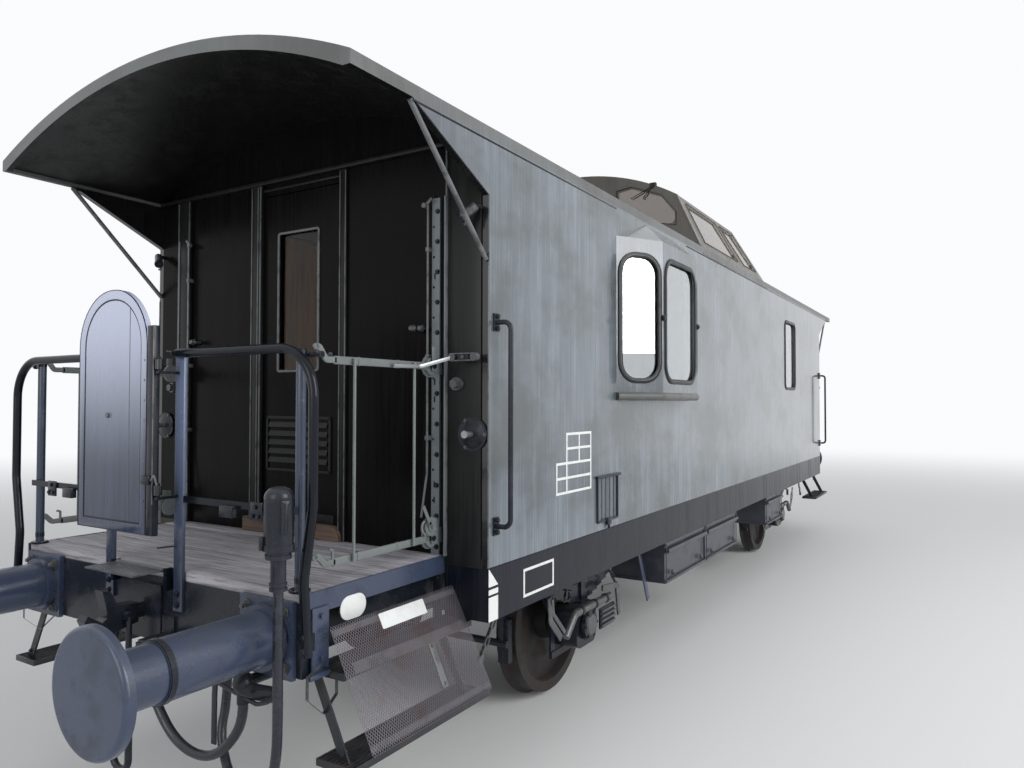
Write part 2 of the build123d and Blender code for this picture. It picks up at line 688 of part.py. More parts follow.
def leaf_brackets():
    """Arms on the near railing post that carry the gangway leaf's pins."""
    x, y = leaf_hinge()
    pieces = None
    for height in LEAF_HINGE_HEIGHTS:
        z = FLANGE_HEIGHT + height
        arm = block(x - 12, -HEADSTOCK_X, y - 12, y + 12, z - 45, z - 33)
        pin = rod_z(8, z - 40, z + 30, x, y)
        piece = arm + pin
        pieces = piece if pieces is None else pieces + piece
    return pieces


def gangway_leaf():
    """The tall leaf that closes the near gangway, with its stile and hinge eyes."""
    x, y = leaf_hinge()
    low = FLANGE_HEIGHT + LEAF_LOW_HEIGHT
    high = FLANGE_HEIGHT + LEAF_HIGH_HEIGHT
    y0 = y + 70
    y1 = y0 + LEAF_WIDTH
    slab = block(x - LEAF_THICKNESS / 2, x + LEAF_THICKNESS / 2, y0, y1, low, high)
    corners = slab.edges().filter_by(Axis.X).group_by(Axis.Z)[-1]
    slab = fillet(corners, LEAF_CORNER)
    stile_top = FLANGE_HEIGHT + LEAF_STILE_HEIGHT
    slab = slab + block(x - 14, x + 14, y0 + 4 - LEAF_STILE_WIDTH, y0 + 4, low, stile_top)
    hole = 8 + PIN_CLEARANCE
    for height in LEAF_HINGE_HEIGHTS:
        z = FLANGE_HEIGHT + height
        eye = rod_z(18, z - 25, z + 20, x, y) + block(x - 8, x + 8, y, y0, z - 25, z + 20)
        slab = slab + (eye - rod_z(hole, z - 26, z + 21, x, y))
    return slab


def bridge_hinge():
    """The hinge axis of the near bridge plate, in X and Z."""
    return -HEADSTOCK_X - 24, FLOOR_Z


def bridge_plate():
    x, z = bridge_hinge()
    half = BRIDGE_WIDTH / 2
    plate = block(x - BRIDGE_REACH, x - 10, -half, half, z - BRIDGE_THICKNESS / 2, z + BRIDGE_THICKNESS / 2)
    knuckle = rod_y(11, -half, half, x, z)
    plate = plate + knuckle + block(x - 20, x, -half, half, z - 4, z + 4)
    return plate - rod_y(6 + PIN_CLEARANCE, -half - 1, half + 1, x, z)


def bridge_bearings():
    """Lugs on the near headstock with the bridge plate's pin."""
    x, z = bridge_hinge()
    half = BRIDGE_WIDTH / 2
    pin = rod_y(6, -half - 30, half + 30, x, z)
    for side in (-1, 1):
        y = side * (half + 20)
        pin = pin + block(x - 14, -HEADSTOCK_X, y - 10, y + 10, z - 90, z + 12)
    return pin


# Side gate at the near left corner; the others are mirrored from it
def gate_bar_band():
    """The two Y planes between which a gate bar lies."""
    inner = -(GATE_PLATE_Y + GATE_BAR_THICKNESS / 2 + GATE_SIDE_GAP)
    return inner - GATE_BAR_THICKNESS, inner


def gate_bar(height, hooked):
    y0, y1 = gate_bar_band()
    z = FLANGE_HEIGHT + height
    half = GATE_BAR_HEIGHT / 2
    x = -GATE_PIVOT_X
    bar = block(x - GATE_REACH + 60, x, y0, y1, z - half, z + half) + rod_y(45, y0, y1, x, z)
    tip = x - GATE_REACH
    if hooked:
        outline = [
            (tip + 62, z - half), (tip + 62, z + half), (tip + 30, z + half + 36), (tip + 6, z + half + 48),
            (tip, z + half + 26), (tip + 18, z + half + 14),
        ]
    else:
        outline = [
            (tip + 62, z - half), (tip + 62, z + half), (tip + 24, z + half + 30), (tip, z + half + 30),
            (tip, z + half + 12), (tip + 18, z + half + 10),
        ]
    bar = bar + plate_xz(outline, y0, y1)
    bar = bar - rod_y(GATE_PIN / 2 + PIN_CLEARANCE, y0 - 1, y1 + 1, x, z)
    for reach in GATE_ROD_REACH:
        bar = bar - rod_y(GATE_ROD_PIN / 2 + PIN_CLEARANCE, y0 - 1, y1 + 1, x - reach, z)
    return bar


def gate_rod(reach):
    y0, y1 = gate_bar_band()
    x = -GATE_PIVOT_X - reach
    y = y0 - GATE_SIDE_GAP - GATE_ROD / 2
    top = FLANGE_HEIGHT + GATE_TOP_HEIGHT
    low = FLANGE_HEIGHT + GATE_BOTTOM_HEIGHT
    rod = rod_z(GATE_ROD / 2, low - 12, top + 12, x, y)
    for z in (low, top):
        rod = rod + rod_y(GATE_ROD_PIN / 2, y, y1 + 1, x, z)
    return rod


def gate_rail():
    """The hinge rail on the bulkhead with the gate's two pivot plates and pins."""
    high = FLANGE_HEIGHT + GATE_RAIL_HEIGHT
    y_in = -GATE_PLATE_Y + GATE_BAR_THICKNESS / 2
    y_out = -GATE_PLATE_Y - GATE_BAR_THICKNESS / 2
    rail = block(-BODY_X - 12, -BODY_X, y_in, y_in + 50, FLOOR_Z, high)
    bar_y0, _ = gate_bar_band()
    for height in (GATE_BOTTOM_HEIGHT, GATE_TOP_HEIGHT):
        z = FLANGE_HEIGHT + height
        plate = block(-GATE_PIVOT_X, -BODY_X, y_out, y_in, z - 40, z + 40)
        disc = rod_y(55, y_out, y_in, -GATE_PIVOT_X, z)
        pin = rod_y(GATE_PIN / 2, bar_y0 - 1, y_in + 8, -GATE_PIVOT_X, z)
        rail = rail + plate + disc + pin
    angle = block(-BODY_X - 30, -BODY_X, y_out - 40, y_out - 32, FLOOR_Z, high)
    return rail + angle


# Running gear
def wheelset():
    """Axle, two tyred wheels and the journals, in place at the near axle."""
    tread = WHEEL_DIAMETER / 2
    flange = tread + FLANGE_HEIGHT
    back = BACK_TO_BACK / 2
    front = back + TYRE_WIDTH
    rim = tread - TYRE_DEPTH
    web_in = back + 48
    web_out = web_in + 26
    hub = 135
    outline = [
        (AXLE_DIAMETER / 2, back - 10), (hub, back - 10), (hub + 12, web_in), (rim - 10, web_in),
        (rim, back), (flange - 6, back), (flange, back + 6), (flange, back + 13), (tread + 6, back + 32),
        (tread + 1.5, back + 45), (tread - 1.5, front), (rim, front), (rim - 10, web_out),
        (hub + 12, web_out), (hub, front + 20), (AXLE_DIAMETER / 2, front + 20),
    ]
    face = make_face(Polyline([(r, y, 0) for r, y in outline], close=True))
    wheel = revolve(face, Axis.Y, 360)
    journal_end = JOURNAL_Y + AXLEBOX_LENGTH / 2 - 30
    axle = rod_y(AXLE_DIAMETER / 2, -front - 20, front + 20, 0, 0)
    axle = axle + rod_y(JOURNAL_DIAMETER / 2, -journal_end, journal_end, 0, 0)
    return Pos(-AXLE_X, 0, AXLE_Z) * (axle + wheel + flip_y(wheel))


def axlebox():
    """The near left axlebox, bored for its journal, with wings for the guard."""
    y0 = -JOURNAL_Y - AXLEBOX_LENGTH / 2
    y1 = -JOURNAL_Y + AXLEBOX_LENGTH / 2
    half = AXLEBOX_WIDTH / 2
    x = -AXLE_X
    box = block(x - half, x + half, y0, y1, AXLE_Z - AXLEBOX_HEIGHT / 2, AXLE_Z + AXLEBOX_HEIGHT / 2)
    box = fillet(box.edges().filter_by(Axis.Y), 60)
    box = box + rod_y(105, y0 - 25, y0, x, AXLE_Z)
    bore = rod_y(JOURNAL_DIAMETER / 2 + JOURNAL_CLEARANCE, y0 + 28, y1 + 1, x, AXLE_Z)
    return box - bore


def spring():
    """The near left leaf spring: arched leaves that shorten downwards, in a buckle on the axlebox."""
    x = -AXLE_X
    seat = AXLE_Z + AXLEBOX_HEIGHT / 2
    half = SPRING_WIDTH / 2
    top = seat + 20 + SPRING_LEAVES * LEAF_STEP
    body = None
    for number in range(SPRING_LEAVES):
        reach = SPRING_LENGTH / 2 - number * SPRING_LENGTH / 2 / (SPRING_LEAVES + 1)
        lift = SPRING_CAMBER * (reach / (SPRING_LENGTH / 2)) ** 2
        z = top - number * LEAF_STEP
        upper = ThreePointArc((x - reach, z + lift), (x, z), (x + reach, z + lift))
        end = z + lift
        foot = end - LEAF_STEP
        lower = ThreePointArc((x - reach, foot), (x, z - LEAF_STEP), (x + reach, foot))
        near, far = Line((x - reach, end), (x - reach, foot)), Line((x + reach, end), (x + reach, foot))
        face = make_face([upper, lower, near, far])
        leaf = extrude(Plane.XZ.offset(JOURNAL_Y - half) * face, SPRING_WIDTH)
        body = leaf if body is None else body + leaf
    buckle = block(x - 50, x + 50, -JOURNAL_Y - half - 15, -JOURNAL_Y + half + 15, seat, top + 20)
    return body + buckle


HANGER_HALF = 20


def spring_hangers():
    """Brackets on the solebar and links that hold the near left spring's ends."""
    pieces = None
    seat = AXLE_Z + AXLEBOX_HEIGHT / 2
    top = seat + 20 + SPRING_LEAVES * LEAF_STEP
    eye_z = top + SPRING_CAMBER + 4
    for side in (-1, 1):
        x = -AXLE_X + side * (SPRING_LENGTH / 2 + 25)
        bracket = block(x - 45, x + 45, -JOURNAL_Y - 45, -JOURNAL_Y + 45, eye_z + 40, SOLEBAR_Z)
        low, high = eye_z - 40, eye_z + 70
        link = block(x - HANGER_HALF, x + HANGER_HALF, -JOURNAL_Y - 80, -JOURNAL_Y - 66, low, high)
        pair = link + Pos(0, 146, 0) * link
        pins = rod_y(14, -JOURNAL_Y - 90, -JOURNAL_Y + 90, x, eye_z + 55)
        pins = pins + rod_y(14, -JOURNAL_Y - 90, -JOURNAL_Y + 90, x, eye_z - 20)
        piece = bracket + pair + pins
        pieces = piece if pieces is None else pieces + piece
    return pieces


GUARD_THICKNESS = 14
GUARD_INSET = 84
GUARD_LEG = 60
GUARD_GAP = 12


def axle_guard():
    """The near left W-shaped guard plate that steers the axlebox."""
    x = -AXLE_X
    half = AXLEBOX_WIDTH / 2 + GUARD_GAP
    y1 = -SOLEBAR_Y + GUARD_INSET
    y0 = y1 - GUARD_THICKNESS
    low = AXLE_Z - 210
    high = SOLEBAR_Z
    legs = None
    profile = (
        (half, low), (half + GUARD_LEG, low), (half + GUARD_LEG, AXLE_Z + 60),
        (half + 330, high), (half + 240, high), (half, AXLE_Z + 130),
    )
    for side in (-1, 1):
        leg = plate_xz([(x + side * reach, z) for reach, z in profile], y0, y1)
        legs = leg if legs is None else legs + leg
    tie = block(x - half - GUARD_LEG, x + half + GUARD_LEG, y0 - 8, y0, low, low + 45)
    return legs + tie


def buffer():
    """The near left buffer, with its plate, sleeve, plunger and round head."""
    y = -BUFFER_SPACING / 2
    face = -HEADSTOCK_X
    half = BUFFER_PLATE / 2
    plate = block(face - BUFFER_PLATE_THICKNESS, face, y - half, y + half, BUFFER_Z - half, BUFFER_Z + half)
    base = face - BUFFER_PLATE_THICKNESS
    sleeve_end = base - BUFFER_SLEEVE_LENGTH
    sleeve = rod_x(BUFFER_SLEEVE / 2, sleeve_end, base, y, BUFFER_Z)
    neck = rod_x(BUFFER_SLEEVE / 2 + 22, base - 40, base, y, BUFFER_Z)
    tip = -LENGTH_OVER_BUFFERS / 2
    plunger = rod_x(BUFFER_PLUNGER / 2, tip + BUFFER_HEAD_THICKNESS, sleeve_end, y, BUFFER_Z)
    head = rod_x(BUFFER_HEAD / 2, tip, tip + BUFFER_HEAD_THICKNESS, y, BUFFER_Z)
    head = fillet(head.edges().group_by(Axis.X)[0], 18)
    return plate + sleeve + neck + plunger + head


# Outline of the drawhook: reach from the headstock and height above its axis
HOOK_DROP = 15
HOOK_OUTLINE = (
    (50, -45), (50, 45), (150, 50), (185, 120), (225, 130), (205, 45), (200, 5), (225, -10), (290, 35),
    (305, 10), (270, -70), (200, -85), (130, -60),
)
HOOK_THICKNESS = 64
HOOK_PLATE = 300
COUPLING_REACH = 110
COUPLING_LINK = 210
COUPLING_SCREW = 260
COUPLING_BOW = 250
TRUNNION_RADIUS = 26
TRUNNION_LENGTH = 150


def drawgear():
    """The near drawhook and its plate on the headstock."""
    face = -HEADSTOCK_X
    z = BUFFER_Z - HOOK_DROP
    half = HOOK_PLATE / 2
    plate = block(face - 16, face, -half, half, z - half + 20, z + half - 20)
    bar = rod_x(35, face - 60, face - 10, 0, z)
    outline = [(face - reach, z + height) for reach, height in HOOK_OUTLINE]
    hook = plate_xz(outline, -HOOK_THICKNESS / 2, HOOK_THICKNESS / 2)
    return plate + bar + hook


def screw_coupling():
    """Link, screw and bow that hang from the near hook."""
    x = -HEADSTOCK_X - COUPLING_REACH
    z = BUFFER_Z - HOOK_DROP - 5
    low = z - COUPLING_LINK
    nut_z = low - COUPLING_SCREW + 10
    foot_z = nut_z - COUPLING_BOW
    half = TRUNNION_LENGTH / 2
    pieces = rod_y(22, -62, 62, x, z)
    for side in (-1, 1):
        pieces = pieces + rod_z(14, low, z, x, side * 52)
    pieces = pieces + rod_y(TRUNNION_RADIUS, -half, half, x, low)
    pieces = pieces + rod_z(22, low - COUPLING_SCREW, low, x, 0)
    pieces = pieces + rod_y(TRUNNION_RADIUS, -half, half, x, nut_z)
    bow = [(x, -60, nut_z), (x, -60, foot_z), (x, 60, foot_z), (x, 60, nut_z)]
    return pieces + tube(bow, [54, 54], 16)


BOX_FRONT_Y = 1325
BOX_BACK_Y = 860
BOX_LOW_HEIGHT = 615
BOX_HIGH_HEIGHT = 925
BATTERY_BOXES = ((-2070, -1070), (-1036, -36))
CABINET_X = (1250, 2050)


def equipment_box(x0, x1):
    """A box hung under the skirt, with an overhanging lid rail and a bottom flange."""
    low = FLANGE_HEIGHT + BOX_LOW_HEIGHT
    high = FLANGE_HEIGHT + BOX_HIGH_HEIGHT
    body = block(x0, x1, -BOX_FRONT_Y + 12, -BOX_BACK_Y, low, high)
    flange = block(x0 - 8, x1 + 8, -BOX_FRONT_Y, -BOX_BACK_Y, low, low + 16)
    lid = block(x0 - 8, x1 + 8, -BOX_FRONT_Y, -BOX_BACK_Y, high - 20, high + 6)
    hanger0 = block(x0 + 60, x0 + 120, -SOLEBAR_Y - 60, -SOLEBAR_Y + 10, high, SOLEBAR_Z)
    hanger1 = block(x1 - 120, x1 - 60, -SOLEBAR_Y - 60, -SOLEBAR_Y + 10, high, SOLEBAR_Z)
    return body + flange + lid + hanger0 + hanger1


def brake_gear():
    """Shoes, hangers and beams on both sides of the near wheels."""
    gear = None
    tread = WHEEL_DIAMETER / 2
    shoe_y = BACK_TO_BACK / 2 + TYRE_WIDTH / 2 + 12
    for side in (-1, 1):
        x = -AXLE_X + side * (tread + 12)
        outer = -AXLE_X + side * (tread + 62)
        beam_x = -AXLE_X + side * (tread + 70)
        beam = rod_y(24, -shoe_y - 40, shoe_y + 40, beam_x, AXLE_Z - 40)
        for y in (-shoe_y, shoe_y):
            shoe = block(x, outer, y - 40, y + 40, AXLE_Z - 170, AXLE_Z + 110)
            shoe = shoe - rod_y(tread + 10, y - 41, y + 41, -AXLE_X, AXLE_Z)
            high = UNDER_FLOOR_Z - CROSS_MEMBER_DEPTH
            hanger = block(beam_x - 10, beam_x + 10, y - 12, y + 12, AXLE_Z - 40, high)
            beam = beam + shoe + hanger
        gear = beam if gear is None else gear + beam
    return gear


def brake_supports():
    """Cross bars under the floor that the near brake hangers hang from."""
    tread = WHEEL_DIAMETER / 2
    pieces = []
    for side in (-1, 1):
        x = -AXLE_X + side * (tread + 70)
        low = UNDER_FLOOR_Z - CROSS_MEMBER_DEPTH
        inner = SOLEBAR_Y - SOLEBAR_WEB / 2
        pieces.append(block(x - 35, x + 35, -inner, inner, low, UNDER_FLOOR_Z))
    return pieces


def pull_rods():
    """The long centre pull rod between the two axles' brake beams, with its lever frame."""
    reach = AXLE_X - WHEEL_DIAMETER / 2 - 70
    rod = rod_x(16, -reach, reach, 0, AXLE_Z - 40)
    lever = block(-12, 12, -90, 90, AXLE_Z - 60, UNDER_FLOOR_Z - CROSS_MEMBER_DEPTH)
    return rod + lever


TANK_RADIUS = 150
TANK_X = (-500, 700)
TANK_Y = 480
TANK_STRAP_INSET = 200
CYLINDER_RADIUS = 130
CYLINDER_X = (-950, -350)


def air_tanks():
    """The brake air reservoir and the brake cylinder under the floor."""
    rail_z = UNDER_FLOOR_Z - CROSS_MEMBER_DEPTH
    z = rail_z - TANK_RADIUS - 25
    low, high = TANK_X
    tank = fillet(rod_x(TANK_RADIUS, low, high, TANK_Y, z).edges(), 60)
    straps = None
    for x in (low + TANK_STRAP_INSET, high - TANK_STRAP_INSET):
        strap = block(x - 20, x + 20, TANK_Y - TANK_RADIUS - 10, TANK_Y + TANK_RADIUS + 10, z, rail_z)
        strap = strap - rod_x(TANK_RADIUS, low - 100, high + 100, TANK_Y, z)
        straps = strap if straps is None else straps + strap
    beam = block(low + 120, high - 120, TANK_Y - 40, TANK_Y + 40, rail_z - 5, rail_z)
    near, far = CYLINDER_X
    cylinder = rod_x(CYLINDER_RADIUS, near, far, -TANK_Y, z + 20)
    cylinder = cylinder + block(near + 50, far - 50, -TANK_Y - 60, -TANK_Y + 60, z + 20, rail_z)
    return [tank + straps + beam, cylinder]


HANDLE_INSET = 60
HANDLE_TOP = 2440
HANDLE_LOW = 1415
HANDLE_STANDOFF = 90
HANDLE_TUBE = 26


def grab_handle():
    """The upright grab handle at the near left corner of the body."""
    y = -BODY_Y - HANDLE_STANDOFF
    handle_x = BODY_X - HANDLE_INSET
    low = FLANGE_HEIGHT + HANDLE_LOW
    high = FLANGE_HEIGHT + HANDLE_TOP
    bends = ((-BODY_Y, high), (y, high), (y, low), (-BODY_Y, low))
    bar = tube([(-handle_x, place, z) for place, z in bends], [40, 40], HANDLE_TUBE / 2)
    for z in (low, high):
        bar = bar + block(-handle_x - 25, -handle_x + 25, -BODY_Y - 8, -BODY_Y, z - 45, z + 45)
    return bar


# Pipes and cords at the near end
COCK_Y = -800
COCK_X = -HEADSTOCK_X - 70
COCK_Z = UNDER_FLOOR_Z - HEADSTOCK_DEPTH - 40
HOSE_RADIUS = 21
CABLE_RADIUS = 20
PLUG_PLACE = (-HEADSTOCK_X - 145, -1090)
PLUG_ABOVE_FLOOR = 50
PLUG_SLEEVE = 155
PLUG_CAP = 250
PLUG_LOW = FLOOR_Z + PLUG_ABOVE_FLOOR
PLUG_SLEEVE_TOP = PLUG_LOW + PLUG_SLEEVE
PLUG_TOP = PLUG_SLEEVE_TOP + PLUG_CAP
HOSE_PARK = (-HEADSTOCK_X - 110, -215, FLANGE_HEIGHT + 900)
CABLE_GLAND = (-HEADSTOCK_X + 40, -560, UNDER_FLOOR_Z - HEADSTOCK_DEPTH)


def brake_cock():
    """The near brake pipe's angle cock, coming out under the headstock."""
    pipe = rod_x(24, COCK_X, -HEADSTOCK_X + 300, COCK_Y, COCK_Z)
    body = pipe + Pos(COCK_X, COCK_Y, COCK_Z) * Sphere(44)
    body = body + rod_z(26, COCK_Z - 85, COCK_Z, COCK_X, COCK_Y)
    return body + block(COCK_X - 8, COCK_X + 8, COCK_Y - 10, COCK_Y + 150, COCK_Z + 40, COCK_Z + 52)


def plug():
    """The bullet-shaped cap of the jumper cable, parked upright."""
    x, y = PLUG_PLACE
    cap = rod_z(57, PLUG_SLEEVE_TOP, PLUG_TOP, x, y)
    cap = fillet(cap.edges().group_by(Axis.Z)[-1], 45)
    return cap + rod_z(30, PLUG_LOW, PLUG_SLEEVE_TOP, x, y)


def cord_radii(points):
    """The largest tangent arc for each corner that its two runs allow."""
    radii = []
    for before, here, after in zip(points, points[1:], points[2:]):
        first = Vector(*here) - Vector(*before)
        second = Vector(*after) - Vector(*here)
        turn = radians(first.get_angle(second))
        radii.append(0.45 * min(first.length, second.length) / tan(turn / 2))
    print("cord radii", [round(radius) for radius in radii])
    return radii


def cord(points, radius):
    body = tube(points, cord_radii(points), radius)
    print("cord volume", round(body.volume), "of length", round(body.volume / (pi * radius ** 2)))
    return body


BRAKE_HOSE = [
    (COCK_X, COCK_Y, COCK_Z - 85),
    (COCK_X, COCK_Y, COCK_Z - 160),
    (COCK_X - 14, COCK_Y + 60, COCK_Z - 260),
    (COCK_X - 26, COCK_Y + 160, COCK_Z - 335),
    (COCK_X - 30, COCK_Y + 285, COCK_Z - 350),
    (COCK_X - 34, COCK_Y + 410, COCK_Z - 310),
    (COCK_X - 38, COCK_Y + 505, COCK_Z - 220),
    (HOSE_PARK[0], HOSE_PARK[1], HOSE_PARK[2] - 130),
    (HOSE_PARK[0], HOSE_PARK[1], HOSE_PARK[2] - 60),
]
JUMPER_CABLE = [
    (PLUG_PLACE[0], PLUG_PLACE[1], PLUG_LOW),
    (PLUG_PLACE[0], PLUG_PLACE[1], PLUG_LOW - 210),
    (PLUG_PLACE[0] - 8, PLUG_PLACE[1] - 12, PLUG_LOW - 430),
    (PLUG_PLACE[0] - 8, PLUG_PLACE[1] - 10, PLUG_LOW - 640),
    (PLUG_PLACE[0] - 2, PLUG_PLACE[1] + 40, PLUG_LOW - 790),
    (PLUG_PLACE[0] + 25, PLUG_PLACE[1] + 150, PLUG_LOW - 900),
    (PLUG_PLACE[0] + 70, PLUG_PLACE[1] + 300, PLUG_LOW - 920),
    (PLUG_PLACE[0] + 118, PLUG_PLACE[1] + 440, PLUG_LOW - 850),
    (PLUG_PLACE[0] + 148, PLUG_PLACE[1] + 530, PLUG_LOW - 730),
    (CABLE_GLAND[0], CABLE_GLAND[1], PLUG_LOW - 590),
    (CABLE_GLAND[0], CABLE_GLAND[1], CABLE_GLAND[2] - 50),
]


def hose_head():
    """The brake hose's coupling head on its dummy holder."""
    x, y, z = HOSE_PARK
    return rod_z(32, z - 60, z + 20, x, y) + block(x - 25, x + 25, y - 20, y + 70, z - 5, z + 45)


def hose_holder():
    x, y, z = HOSE_PARK
    return block(x - 20, -HEADSTOCK_X, y - 30, y + 60, z + 45, z + 57) + block(
        -HEADSTOCK_X - 12, -HEADSTOCK_X, y - 30, y + 60, z + 57, z + 140)


def plug_bracket():
    x, y = PLUG_PLACE
    low = PLUG_SLEEVE_TOP - 14
    ring = rod_z(50, low - 16, low, x, y) - rod_z(31, low - 17, low + 1, x, y)
    pad = block(x - 20, x + 20, y + 35, y + 56, low - 16, low)
    arm = block(x - 20, -HEADSTOCK_X - RAIL_POST_THICKNESS, y + 40, y + 56, low - 16, low)
    return ring + pad + arm


def cable_gland():
    x, y, z = CABLE_GLAND
    return rod_z(30, z - 50, z, x, y)


def build_all():
    """Builds and writes every node."""
    roof, cupola = build_roof()
    bay, bay_glass = build_bay()
    side, side_pane = build_side()
    wall = end_wall()
    door, door_pane = end_door()
    body_floor = block(-BODY_X, BODY_X, -BODY_Y + WALL, BODY_Y - WALL, UNDER_FLOOR_Z, FLOOR_Z)
    skirt = block(-BODY_X, BODY_X, -BODY_Y, -BODY_Y + WALL, SKIRT_BOTTOM_Z, SKIRT_TOP_Z)
    for start in (-BODY_X, BODY_X - SKIRT_RETURN):
        y0 = -BODY_Y + WALL / 2
        skirt = skirt + block(start, start + SKIRT_RETURN, y0, -PLATFORM_Y, SKIRT_BOTTOM_Z, UNDER_FLOOR_Z)

    side_openings, side_panes = cupola_side_panes()
    near_opening = cupola_pane(3 * CUPOLA_SKIN)
    for opening in [item for shape in [near_opening, *side_openings] for item in both_sides(shape)]:
        cupola = cupola - opening
    cupola_glass = [item for shape in [cupola_pane(GLASS), *side_panes] for item in both_sides(shape)]

    save("roof", roof)
    save("cupola", cupola)
    save("side_wall_left", side)
    save("side_wall_right", flip_y(side))
    save("skirts", *both_sides(skirt))
    save("bay_left", bay)
    save("bay_right", flip_y(bay))
    glazing = bay_glass + [side_pane]
    save("glazing", *glazing, *[flip_y(pane) for pane in glazing], *cupola_glass)
    save("end_wall_near", wall)
    save("end_wall_far", turned(wall))
    save("end_door_near", door)
    save("end_door_far", turned(door))
    save("door_pane_near", door_pane)
    save("door_pane_far", turned(door_pane))
    save("body_floor", body_floor)
    frame = underframe()
    for piece in brake_supports():
        frame = frame + piece + turned(piece)
    save("underframe", frame)
    save("headstocks", headstock(), turned(headstock()))
    save("platform_boards", *platform_boards(), *[turned(board) for board in platform_boards()])
    save("platform_edges", *four_corners(platform_edge()))
    save("steps", *four_corners(steps()))
    save("step_screen", step_screen())
    rail = end_railing()
    railing = rail + flip_y(rail) + leaf_brackets() + bridge_bearings()
    save("end_railing_near", railing)
    save("end_railing_far", turned(railing))
    save("gangway_leaf_near", gangway_leaf())
    save("gangway_leaf_far", turned(gangway_leaf()))
    save("bridge_plate_near", bridge_plate())
    save("bridge_plate_far", turned(bridge_plate()))

    save("gate_rails", *four_corners(gate_rail()))
    gate_pieces = {
        "top_bar": gate_bar(GATE_TOP_HEIGHT, True),
        "bottom_bar": gate_bar(GATE_BOTTOM_HEIGHT, False),
        "inner_rod": gate_rod(GATE_ROD_REACH[0]),
        "outer_rod": gate_rod(GATE_ROD_REACH[1]),
    }
    for piece_name, piece in gate_pieces.items():
        save(f"gate_near_left_{piece_name}", piece)
        save(f"gate_near_right_{piece_name}", flip_y(piece))
        save(f"gate_far_left_{piece_name}", flip_x(piece))
        save(f"gate_far_right_{piece_name}", flip_y(flip_x(piece)))

    save("wheelset_near", wheelset())
    save("wheelset_far", turned(wheelset()))
    save("axleboxes", *four_corners(axlebox()))
    save("springs", *four_corners(spring()))
    save("axle_guards", *four_corners(axle_guard()), *four_corners(spring_hangers()))
    gear = brake_gear()
    save("brake_gear", gear + turned(gear) + pull_rods())
    save("air_tanks", *air_tanks())
    boxes = [equipment_box(x0, x1) for x0, x1 in BATTERY_BOXES]
    save("equipment_boxes", *boxes, equipment_box(*CABINET_X))

    save("buffers", *four_corners(buffer()))
    gear_near = drawgear() + screw_coupling()
    save("drawgear", gear_near, turned(gear_near))
    save("grab_handles", *four_corners(grab_handle()))
    save("pipe_cocks", brake_cock(), turned(brake_cock()), hose_holder(), plug_bracket(), cable_gland())
    save("brake_hose", cord(BRAKE_HOSE, HOSE_RADIUS))
    save("brake_hose_head", hose_head())
    save("jumper_cable", cord(JUMPER_CABLE, CABLE_RADIUS))
    save("jumper_plug", plug())


build_all()
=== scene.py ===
"""Looks of the two-axle baggage and guard's van, in metres, in the frame of its CAD."""
import math

import bmesh
import bpy
from mathutils import Matrix, Vector


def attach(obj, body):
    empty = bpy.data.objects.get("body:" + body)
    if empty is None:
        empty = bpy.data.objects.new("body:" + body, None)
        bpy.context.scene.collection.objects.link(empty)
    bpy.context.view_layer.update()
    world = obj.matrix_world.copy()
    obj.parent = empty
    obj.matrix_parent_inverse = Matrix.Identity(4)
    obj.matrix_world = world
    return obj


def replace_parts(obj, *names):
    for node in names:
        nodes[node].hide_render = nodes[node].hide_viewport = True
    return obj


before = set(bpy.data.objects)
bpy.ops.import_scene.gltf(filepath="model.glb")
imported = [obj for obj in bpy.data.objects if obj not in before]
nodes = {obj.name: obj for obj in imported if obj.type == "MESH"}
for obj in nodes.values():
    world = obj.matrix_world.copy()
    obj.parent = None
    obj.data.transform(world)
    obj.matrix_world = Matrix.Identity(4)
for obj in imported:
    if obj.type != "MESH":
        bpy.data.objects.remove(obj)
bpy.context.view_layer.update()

# Sizes shared with the CAD
BODY_X = 4.637
BODY_Y = 1.35
WALL = 0.04
FLOOR_Z = 1.281
EAVE_Z = 3.388
BUFFER_Z = 1.088
BUFFER_Y = 0.875
GATE_PIVOT_X = -4.743
GATE_TIP_X = -5.543
GATE_Y = -1.071
GATE_HEIGHTS = (2.246, 1.383)
GATE_POST = (-5.56, -1.02)

# Directions
X, Y, Z = Vector((1, 0, 0)), Vector((0, 1, 0)), Vector((0, 0, 1))
OUT = -X

# Places that a near left piece is copied to
HERE = Matrix.Identity(4)
ACROSS = Matrix.Diagonal((1, -1, 1, 1))
FAR = Matrix.Diagonal((-1, 1, 1, 1))
TURNED = Matrix.Diagonal((-1, -1, 1, 1))
CORNERS = (HERE, ACROSS, FAR, TURNED)
BOTH_SIDES = (HERE, ACROSS)
BOTH_ENDS = (HERE, TURNED)


# Shapes
def bevel(bm, geom, offset, steps=2, affect="EDGES"):
    bmesh.ops.bevel(bm, geom=geom, offset=offset, segments=steps, profile=0.5, affect=affect, material=-1)


def add_block(bm, low, high, rounding=0.0):
    low, high = Vector(low), Vector(high)
    place = Matrix.Translation((low + high) / 2) @ Matrix.Diagonal((*(high - low), 1))
    made = bmesh.ops.create_cube(bm, size=1, matrix=place)
    if rounding:
        bevel(bm, list({edge for vert in made["verts"] for edge in vert.link_edges}), rounding)


def turn_to(direction, axis="Z"):
    """The turn that takes an axis to a direction."""
    return direction.to_track_quat(axis, "Y").to_matrix().to_4x4()


def along(start, end):
    """The matrix that takes Z to the line from start to end, from its middle."""
    start, end = Vector(start), Vector(end)
    return Matrix.Translation((start + end) / 2) @ turn_to(end - start)


